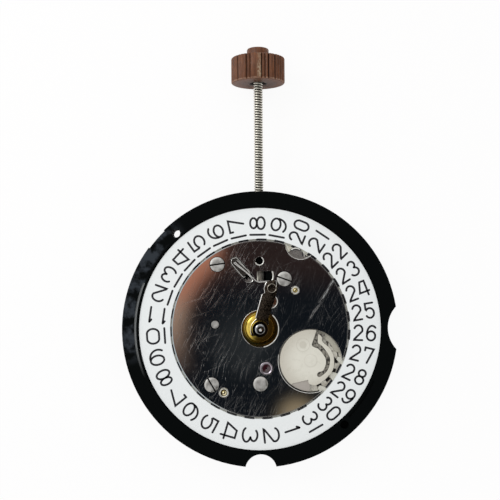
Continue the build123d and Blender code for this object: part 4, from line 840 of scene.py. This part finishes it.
# Tubes and bushes: steel tubes pressed into the plate, burnished on their lips, each with a brass bush inside
# for an arbor.
tube_steel = metal("tube_steel", (0.78, 0.77, 0.70), 0.12, edge=0.01)
bush_brass = metal("bush_brass", (0.90, 0.80, 0.50), 0.12, edge=0.01)
tubes, bushes = [], []
tube_wall = 0.14
for where, outside in (((3.38, 3.63), 0.39), ((-3.48, -6.05), 0.46)):
    inside = outside - tube_wall
    tubes.append(turned([(outside, 2.1), (outside, 2.86), (outside - 0.035, 2.90), (outside - 0.075, 2.905),
                         (inside + 0.01, 2.86), (inside, 2.80), (inside, 2.1)], where, 56, closed=True))
    bushes.append(turned([(inside, 2.1), (inside, 2.79), (inside - 0.05, 2.80), (0.13, 2.74), (0.12, 2.70),
                          (0.10, 2.84), (0.06, 2.87), (0.0, 2.88)], where, 48))
part("plate_tube_rings", together(*tubes), tube_steel, "movement", ("plate_tubes",))
part("tube_bush_rings", together(*bushes), bush_brass, "movement", ("tube_bushes",))

# Plate jewel: a dark red synthetic ruby with an oil sink and a pierced hole, pushed into a grey metal ring
# that is pressed into the plate.
jewel_place = (0.57, -3.78)
setting_profile = [(0.605, 2.4), (0.605, 2.83), (0.585, 2.845), (0.545, 2.85), (0.50, 2.82), (0.42, 2.76),
                   (0.40, 2.4)]
part("jewel_setting_ring", turned(setting_profile, jewel_place, 56, closed=True),
     metal("jewel_setting", (0.42, 0.38, 0.42), 0.18), "movement", ("jewel_setting",))
deep_ruby, tree, shader, place = finish("deep_ruby", (0.10, 0.004, 0.012), 0.07)
shader.inputs["IOR"].default_value = 1.76
coat(tree, shader, tint(tree, grain(tree, place, 5.0), (0.008, 0.001, 0.002), (0.042, 0.004, 0.012)))
relief(tree, shader, grain(tree, place, 9.0), 0.002, 0.3)
stone_profile = [(0.42, 2.4), (0.42, 2.77), (0.37, 2.79), (0.28, 2.76), (0.16, 2.72), (0.10, 2.715),
                 (0.08, 2.70), (0.08, 2.5), (0.0, 2.5)]
part("plate_jewel_stone", turned(stone_profile, jewel_place, 48), deep_ruby, "movement",
     ("plate_jewel",))

# Burnished edges of the cover plate's holes and windows: the press left a narrow rounded lip round one hole,
# which catches the window light on some sides only, and bright wires laid along the lit sides of the other
# holes and windows are painted highlights.
hole_place, hole_radius = (1.04, 2.58), 0.645
hole_lip = turned([(hole_radius + 0.02, 2.69), (hole_radius + 0.03, 2.812), (hole_radius - 0.005, 2.812),
                   (hole_radius - 0.055, 2.775), (hole_radius - 0.055, 2.69)], hole_place, 96, closed=True)
# Painted highlights: bright wires along the lit sides of the holes and windows.
highlight_wires = [
    (arc((4.74, -3.11), 3.035, 168, 290, 60), 0.028, 2.80),
    (arc((3.94, 8.05), 1.48, 196, 322, 30), 0.018, 2.79),
    ([(2.60, 8.00), (2.80, 7.49)], 0.030, 2.715),
    ([(4.23, 7.24), (4.30, 6.84)], 0.028, 2.715),
    ([(4.36, 6.70), (4.62, 6.80), (4.98, 6.94)], 0.022, 2.715),
    ([(3.04, 7.49), (3.24, 7.60), (3.46, 7.64), (3.70, 7.60), (3.88, 7.50)], 0.070, 2.69),
    (flowing([(1.20, 5.44), (1.27, 5.26), (1.29, 5.00), (1.26, 4.72), (1.18, 4.60)]), 0.07, 2.78),
    (arc((-0.01, 6.44), 0.395, -160, 60, 30), 0.05, 2.785),
    (arc((0.03, -0.03), 1.745, -80, 48, 40), 0.05, 2.80),
    (arc((0.0, 0.0), 1.765, 100, 236, 60), 0.016, 2.808),
    (flowing([(-2.62, 6.60), (-2.70, 6.36), (-2.56, 6.08), (-1.62, 4.97), (-1.40, 4.96)]), 0.022, 2.80),
    (flowing([(-2.60, 6.66), (-2.36, 6.74), (-2.10, 6.66), (-1.02, 5.38), (-0.92, 5.16)]), 0.022, 2.80)]
lip_and_highlight_metal = metal("lip_and_highlight_metal", (0.86, 0.85, 0.80), 0.20, edge=0.0)
lip_and_highlight_metal.node_tree.nodes["Principled BSDF"].inputs["Metallic"].default_value = 0.35
part("cover_hole_lip_and_highlights", together(hole_lip, *(wire(*edge) for edge in highlight_wires)), lip_and_highlight_metal, "movement")

# Dial foot hole: a bore through the plate for one of the dial's feet, closed a little below its mouth by a
# floor of the same black resin, put there as painted shade so that the bore shows dark.
# Painted shade: a black floor a little below the bore's mouth.
foot_hole_shade_profile = [(0.0, 1.2), (0.39, 1.2), (0.39, 2.25), (0.36, 2.28), (0.0, 2.24)]
part("foot_hole_shade_floor", turned(foot_hole_shade_profile, (7.938, -9.132), 40), black_resin, "movement")

# Bed of the corrector: the beige resin that shows at both sides of the corrector in its window, as far as the
# window's edge and the plate's inner island go, with narrow black strips laid as painted shade in the gaps
# where the parts meet.
corrector_centre, window_centre, window_radius, island_edge = (3.47, 6.39), (3.94, 8.05), 1.46, 8.34
bed_inner, bed_step, bed_steps = 1.12, 0.01, 120
for side, start, end in (("left", 200, 76), ("right", -20, 58)):
    near, far = [], []
    for spot in arc(corrector_centre, bed_inner, start, end, 40):
        out = Vector((spot[0] - corrector_centre[0], spot[1] - corrector_centre[1])).normalized()
        line = [Vector(spot) + out * bed_step * i for i in range(bed_steps)]
        line = [q for q in line if math.hypot(q.x - window_centre[0], q.y - window_centre[1]) < window_radius
                and q.length < island_edge]
        if len(line) > 1:
            near.append(tuple(line[0]))
            far.append(tuple(line[-1]))
    if len(near) > 2:
        part("corrector_bed_" + side, plate_from(near + far[::-1], 2.672, 2.70), beige, "movement")
# Painted shade: black strips in the gaps where the parts meet.
gap_shadow_pieces = [block(where, turn, length, width, 2.69, 2.709) for where, turn, length, width in (
    ((3.16, 7.61), 39, 0.54, 0.10), ((4.63, 6.90), 30, 0.60, 0.10), ((4.11, 7.10), -80, 0.46, 0.09))]
gap_shadow_pieces.append(ring_piece(corrector_centre, 1.17, 1.10, 112, 62, 16, 2.69, 2.706))
part("corrector_gap_shadows", together(*gap_shadow_pieces), black_ink_and_painted_shade, "movement")

# Bed of the spring's slot: the dark ground steel that shows through the long slot in the cover plate, under
# the blades of the jumper spring.
slot_bed = [(-2.62, 6.62), (-2.72, 6.42), (-2.62, 6.12), (-1.62, 4.95), (-1.34, 5.10), (-0.98, 5.36),
            (-2.06, 6.66), (-2.38, 6.74)]
part("spring_slot_bed", plate_from(slot_bed, 2.58, 2.64),
     metal("slot_bed_steel", (0.13, 0.12, 0.11), 0.30, 0.004, -50.0), "movement")

# Jumper spring: a thin blackened stamping whose polished edge shows white, with springy double blades over
# their slot. Bright wires along some of its edges are painted highlights. A flat rivet with a grey lip holds
# it to the plate.
blackened = metal("blackened_spring", (0.085, 0.068, 0.054), 0.30, 0.001, 75.0, edge=0.0)
tree = blackened.node_tree
shader = tree.nodes["Principled BSDF"]
speckle = spread(tree, grain(tree, millimetres(tree), 11.0, 4.0, 0.75), 0.40, 0.66)
flat_top = spread(tree, axes(tree, add(tree, "NewGeometry").outputs["Normal"])[2], 0.80, 0.97)
dark_face = tint(tree, speckle, (0.010, 0.008, 0.007), (0.11, 0.085, 0.062))
coat(tree, shader, tint(tree, flat_top, (0.92, 0.90, 0.86), dark_face),
     spread(tree, speckle, 0.0, 1.0, 0.22, 0.5))
arm = [(0.70, 4.50), (0.60, 4.42), (0.42, 3.78), (0.50, 3.52), (0.47, 3.40), (0.27, 3.29), (-0.06, 2.16),
       (-0.40, 1.02), (-0.32, 0.90), (-0.50, 0.76), (-0.78, 0.42), (-0.885, 0.0), (-0.88, -0.30),
       (-0.82, -0.62), (-0.70, -0.72), (-0.52, -0.68)]
arm += arc((0.0, 0.0), 0.785, 238, 24, 24)
arm += [(0.84, 0.42), (0.82, 1.02), (0.97, 1.40), (1.10, 1.86), (1.34, 2.56), (1.56, 3.20), (1.66, 3.60),
        (1.80, 4.10), (1.66, 4.52), (1.30, 4.66)]
part("jumper_spring_arm", plate_from(arm, 2.815, 2.935), blackened, "movement",
     ("jumper_spring",), edge=0.02, free=True)
blade = flowing([(0.72, 4.46), (0.30, 4.43), (-0.12, 4.43), (-0.40, 4.60), (-0.66, 4.86), (-1.30, 5.44),
                 (-2.36, 6.36)], 5)
second_blade = [(-0.92, 5.00), (-1.42, 5.46), (-2.44, 6.26), (-2.40, 6.34)]
third_blade = [(-0.98, 5.44), (-1.40, 5.80), (-2.16, 6.52)]
blade_hook = flowing([(-0.96, 5.02), (-0.74, 4.80), (-0.64, 4.62), (-0.74, 4.46), (-0.98, 4.40)])
# Painted highlights: bright wires along the lit edges of the arm.
left_edge_highlight = [(0.245, 3.27), (-0.085, 2.14), (-0.41, 1.02)]
hook_edge_highlight = flowing([(-0.34, 0.92), (-0.51, 0.76), (-0.78, 0.42), (-0.88, 0.0), (-0.88, -0.30),
                     (-0.83, -0.58)])
head_edge_highlight = [(0.66, 4.44), (0.585, 4.32), (0.415, 3.80), (0.485, 3.52), (0.46, 3.42)]
right_edge_highlight = flowing([(1.56, 4.60), (1.62, 4.16), (1.56, 3.86)])
blades_and_edge_highlights = ((blade, 0.05, 2.87), (second_blade, 0.04, 2.86), (blade_hook, 0.04, 2.86),
                (third_blade, 0.035, 2.855), (left_edge_highlight, 0.055, 2.895), (hook_edge_highlight, 0.028, 2.915),
                (head_edge_highlight, 0.035, 2.915), (right_edge_highlight, 0.03, 2.93))
part("jumper_spring_blades_and_highlights", together(*(wire(*line) for line in blades_and_edge_highlights)),
     metal("bright_wire", (0.86, 0.85, 0.82), 0.16, edge=0.0), "movement")
rivet_place = (1.16, 3.84)
rivet_profile = [(0.0, 2.70), (0.34, 2.70), (0.43, 2.90), (0.44, 2.94), (0.40, 2.955), (0.37, 2.945),
                 (0.0, 2.943)]
part("spring_rivet_head", turned(rivet_profile, rivet_place, 48), blackened, "movement",
     ("spring_rivet",), smooth=20)
part("spring_rivet_lip", wire(arc(rivet_place, 0.41, 0, 360, 48), 0.035, 2.955),
     metal("rivet_grey", (0.42, 0.38, 0.32), 0.28, edge=0.0), "movement")


# Hour wheel: turned brass, gold coloured, a shallow stepped cone round its tube, with teeth under the cover
# plate. The end of the tube is painted dark as shade, and its right side is painted a browner tone as shade.
def toothed(teeth, module):
    """The outline of a small wheel with plain teeth."""
    outside, root = module * (teeth / 2 + 0.9), module * (teeth / 2 - 1.25)
    points = []
    for i in range(teeth):
        for radius, share in ((root, -0.30), (outside, -0.11), (outside, 0.11), (root, 0.30)):
            angle = 2 * math.pi * (i + share) / teeth
            points.append((radius * math.cos(angle), radius * math.sin(angle)))
    return points


gold = metal("hour_wheel_gold", (0.70, 0.52, 0.11), 0.12, rings=(0, 0), edge=0.0)
tree, shader, brass_tone, place = reopened(gold)
x, y, z = axes(tree, place)
# Painted shade: the right side is browner and the end of the tube is near black.
shaded_right_side = spread(tree, work(tree, "SUBTRACT", x, times(tree, y, 0.4)), -0.2, 0.9, 0.0, 0.72)
brass_tone = tint(tree, shaded_right_side, brass_tone, (0.32, 0.17, 0.04))
painted_dark_end = tint(tree, shaded_right_side, (0.022, 0.016, 0.011), (0.17, 0.10, 0.045))
coat(tree, shader, tint(tree, spread(tree, z, 3.80, 3.84), brass_tone, painted_dark_end))
hour_teeth = plate_from(toothed(40, 0.095), 2.10, 2.24)
hour_cone = turned([(0.47, 2.24), (1.75, 2.24), (1.75, 2.27), (1.70, 2.30), (1.66, 2.295), (1.42, 2.335),
                    (1.40, 2.315), (1.36, 2.345), (1.08, 2.41), (1.05, 2.400), (0.79, 2.46), (0.75, 2.47),
                    (0.75, 3.83), (0.73, 3.85), (0.49, 3.85), (0.47, 3.83)], count=96, closed=True)
part("hour_wheel_turned", together(hour_teeth, hour_cone), gold, "hour_wheel", ("hour_wheel",),
     smooth=30)

# Cannon pinion: hardened steel, turned with its teeth in one piece and polished on its upper end, where the
# minute hand goes.
cannon_module = 2 * 2.375 / 48
cannon_teeth = plate_from(toothed(12, cannon_module), 1.92, 2.04)
cannon_post = turned([(0.25, 1.92), (0.45, 1.92), (0.48, 2.04), (0.48, 3.87), (0.43, 3.89), (0.43, 4.235),
                      (0.385, 4.290), (0.33, 4.298), (0.26, 4.25), (0.25, 4.20)], closed=True)
part("cannon_pinion_turned", together(cannon_teeth, cannon_post),
     metal("polished_post", (0.42, 0.42, 0.43), 0.12, rings=(0, 0), edge=0.0), "cannon",
     ("cannon_pinion",), smooth=30)

# Seconds pivot and minute wheel: the steel arbor in the middle of the cannon pinion, whose faced tip is
# painted white as a highlight, and the reddish gilt wheel that carries the motion to the hour wheel.
pivot_steel, tree, shader, place = finish("pivot_steel", (0.30, 0.30, 0.30), 0.2, 1.0)
x, y, z = axes(tree, place)
tip_low, tip_high = 4.745, 4.749
# Painted highlight: the tip of the arbor is white.
coat(tree, shader, tint(tree, spread(tree, z, tip_low, tip_high), (0.12, 0.12, 0.12), (0.95, 0.95, 0.93)),
     spread(tree, z, tip_low, tip_high, 0.15, 0.65))
relief(tree, shader, grain(tree, place, 30.0), 0.002, 0.3)
dress(pivot_steel, "seconds_arbor")
dress(metal("minute_wheel_rose", (0.86, 0.50, 0.34), 0.24, rings=(0.89, 2.2)), "minute_wheel")


# Stem: a steel rod left uncut, with a square and a groove turned at its inner end and a fine thread cut on
# its outer end, bright on the crests and painted dark in the roots as shade.
def along_y(shape, height):
    """A shape turned about the upright, laid down so that its axis runs along the stem."""
    return [(x, z, y + height) for x, y, z in shape[0]], shape[1]


stem_height = 1.5
pitch, crest, root, flank, land = 0.245, 0.45, 0.325, 1.7, 0.55
thread_start, thread_end = 12.9, 24.9
steps, rows_per_turn = 24, 8
vertices = []
row_count = int((thread_end - thread_start) / pitch * rows_per_turn)
for row in range(row_count + 1):
    y = thread_start + (thread_end - thread_start) * row / row_count
    fade = min(1.0, (y - thread_start) / (2 * pitch))
    for k in range(steps):
        turn = 2 * math.pi * k / steps
        wave = abs(((y / pitch - k / steps) % 1.0) * 2 - 1)
        radius = crest - (crest - root) * fade * min(1.0, max(0.0, wave * flank - land))
        vertices.append((radius * math.cos(turn), y, stem_height + radius * math.sin(turn)))
thread = (vertices, round_walls(steps, row_count + 1))
square = turned([(0.0, 4.70), (0.33, 4.70), (0.353, 4.74), (0.353, 6.40), (0.0, 6.40)], count=4)
eighth = math.radians(45)
square = ([(x * math.cos(eighth) - y * math.sin(eighth), x * math.sin(eighth) + y * math.cos(eighth), z)
           for x, y, z in square[0]], square[1])
shank = turned([(0.0, 6.36), (0.42, 6.36), (0.45, 6.40), (0.45, 7.33), (0.43, 7.35), (0.25, 7.35),
                (0.25, 7.85), (0.43, 7.85), (0.45, 7.87), (0.45, 12.92), (0.0, 12.92)], count=32)
stem_steel = metal("stem_steel", (0.92, 0.89, 0.78), 0.11, edge=0.0)
tree, shader, crest_tone, place = reopened(stem_steel)
shader.inputs["Metallic"].default_value = 0.55
x, y, z = axes(tree, place)
from_axis = distance_from(tree, x, z, (0.0, stem_height))
# Painted shade: the thread's roots are dark.
coat(tree, shader, tint(tree, spread(tree, from_axis, 0.435, 0.375), crest_tone, (0.035, 0.030, 0.022)))
part("threaded_stem", together(thread, along_y(square, stem_height), along_y(shank, stem_height)), stem_steel,
     "stem", ("stem",), smooth=50)

# Knob: brown moulded plastic with streaks in its colour, fluted for grip, with one flat rib and a smaller
# neck behind. It is screwed on the end of the stem, and its flutes and rims are worn unevenly. Its flute
# valleys and the recess round the stem are painted dark as shade, and the worn right side of its rib has a
# painted highlight.
flutes, steps_per_flute, flute_depth, flute_round = 44, 12, 0.20, 0.55
rib_centre, rib_half, rib_slope, rib_foot, rib_bow, rib_rise = 95.6, 12.2, 1.6, 0.12, 0.02, 0.018
knob_rows = [(24.00, 0.74, 0), (23.76, 0.76, 0), (23.71, 0.80, 0), (23.70, 0.86, 0), (23.70, 2.36, 0),
             (23.71, 2.48, 0.1), (23.75, 2.56, 0.4), (23.81, 2.60, 1), (26.06, 2.60, 1), (26.12, 2.575, 0.9),
             (26.15, 2.50, 0.6), (26.16, 2.32, 0), (26.16, 1.12, 0), (26.19, 1.07, 0), (26.97, 1.06, 0),
             (27.06, 1.02, 0), (27.11, 0.92, 0), (27.11, 0.64, 0), (27.08, 0.60, 0)]
steps = flutes * steps_per_flute
flute_wear = random.Random(7)
flute_depths = [flute_depth * flute_wear.choice((0.42, 0.60, 0.85, 1.0, 1.15)) for i in range(flutes)]
vertices = []
for y, radius, grip in knob_rows:
    for k in range(steps):
        degrees = 360 * k / steps
        off_rib = abs((degrees - rib_centre + 180) % 360 - 180)
        swing = 0.5 + 0.5 * math.cos(math.radians((degrees - rib_centre) * flutes))
        depth = flute_depths[int((degrees - rib_centre) % 360 * flutes / 360)] * (1 - swing ** flute_round)
        if off_rib < rib_half:
            rise = min(1.0, (rib_half - off_rib) / rib_slope)
            depth = rib_foot * (1 - rise) + rib_bow * (off_rib / rib_half) ** 2
        distance = radius - depth * grip + (rib_rise * grip if off_rib < rib_half - rib_slope else 0.0)
        turn = math.radians(degrees)
        vertices.append((distance * math.cos(turn), y, stem_height + distance * math.sin(turn)))
brown, tree, shader, place = finish("brown_plastic", (0.12, 0.05, 0.03), 0.36)
shader.inputs["Specular IOR Level"].default_value = 0.3
x, y, z = axes(tree, place)
from_axis = distance_from(tree, x, z, (0.0, stem_height))
cloud = grain(tree, place, 2.2, 5.0, 0.65)
fine = grain(tree, place, 16.0, 4.0, 0.6)
streak = spread(tree, grain(tree, place, 2.4, 4.0, 0.65, 0.0, (2.6, 0.35, 2.6)), 0.40, 0.62)
moulded = tint(tree, cloud, (0.095, 0.031, 0.012), (0.235, 0.088, 0.036))
moulded = tint(tree, times(tree, streak, 0.45), moulded, (0.045, 0.020, 0.012))
on_grip = band(tree, y, 23.78, 23.90, 26.13, 26.08)
# Painted shade in the flute valleys.
valley_shade = times(tree, spread(tree, from_axis, 2.56, 2.40), on_grip)
moulded = tint(tree, valley_shade, moulded, (0.032, 0.013, 0.008))
bearing = work(tree, "ARCTAN2", work(tree, "SUBTRACT", z, stem_height), x)
# Painted highlight on the worn right side of the rib.
worn_rib_highlight = times(tree, band(tree, bearing, 1.445, 1.475, 1.66, 1.54), on_grip,
                 spread(tree, grain(tree, place, 6.0, 3.0, 0.6, 0.0, (2.0, 0.8, 2.0)), 0.38, 0.62, 0.10, 1.0),
                 spread(tree, y, 25.9, 24.4, 0.45, 1.0))
moulded = tint(tree, worn_rib_highlight, moulded, (0.40, 0.30, 0.20))
end_shade = times(tree, spread(tree, y, 23.77, 23.73), spread(tree, from_axis, 2.5, 1.0, 0.0, 0.60))
moulded = tint(tree, end_shade, moulded, (0.030, 0.014, 0.010))
worn_rim = times(tree, spread(tree, from_axis, 2.49, 2.54), spread(tree, y, 23.87, 23.80, 0.0, 0.55),
                 spread(tree, cloud, 0.35, 0.6, 0.4, 1.0))
moulded = tint(tree, worn_rim, moulded, (0.42, 0.28, 0.20))
# Painted shade in the recess round the stem.
recess_shade = times(tree, spread(tree, from_axis, 0.95, 0.78), spread(tree, y, 24.3, 24.1))
coat(tree, shader, tint(tree, recess_shade, moulded, (0.010, 0.005, 0.004)),
     spread(tree, fine, 0.3, 0.7, 0.34, 0.50))
relief(tree, shader, fine, 0.012, 0.6, edge=0.04)
part("fluted_knob", (vertices, round_walls(steps, len(knob_rows))), brown, "stem", ("knob",),
     smooth=48)
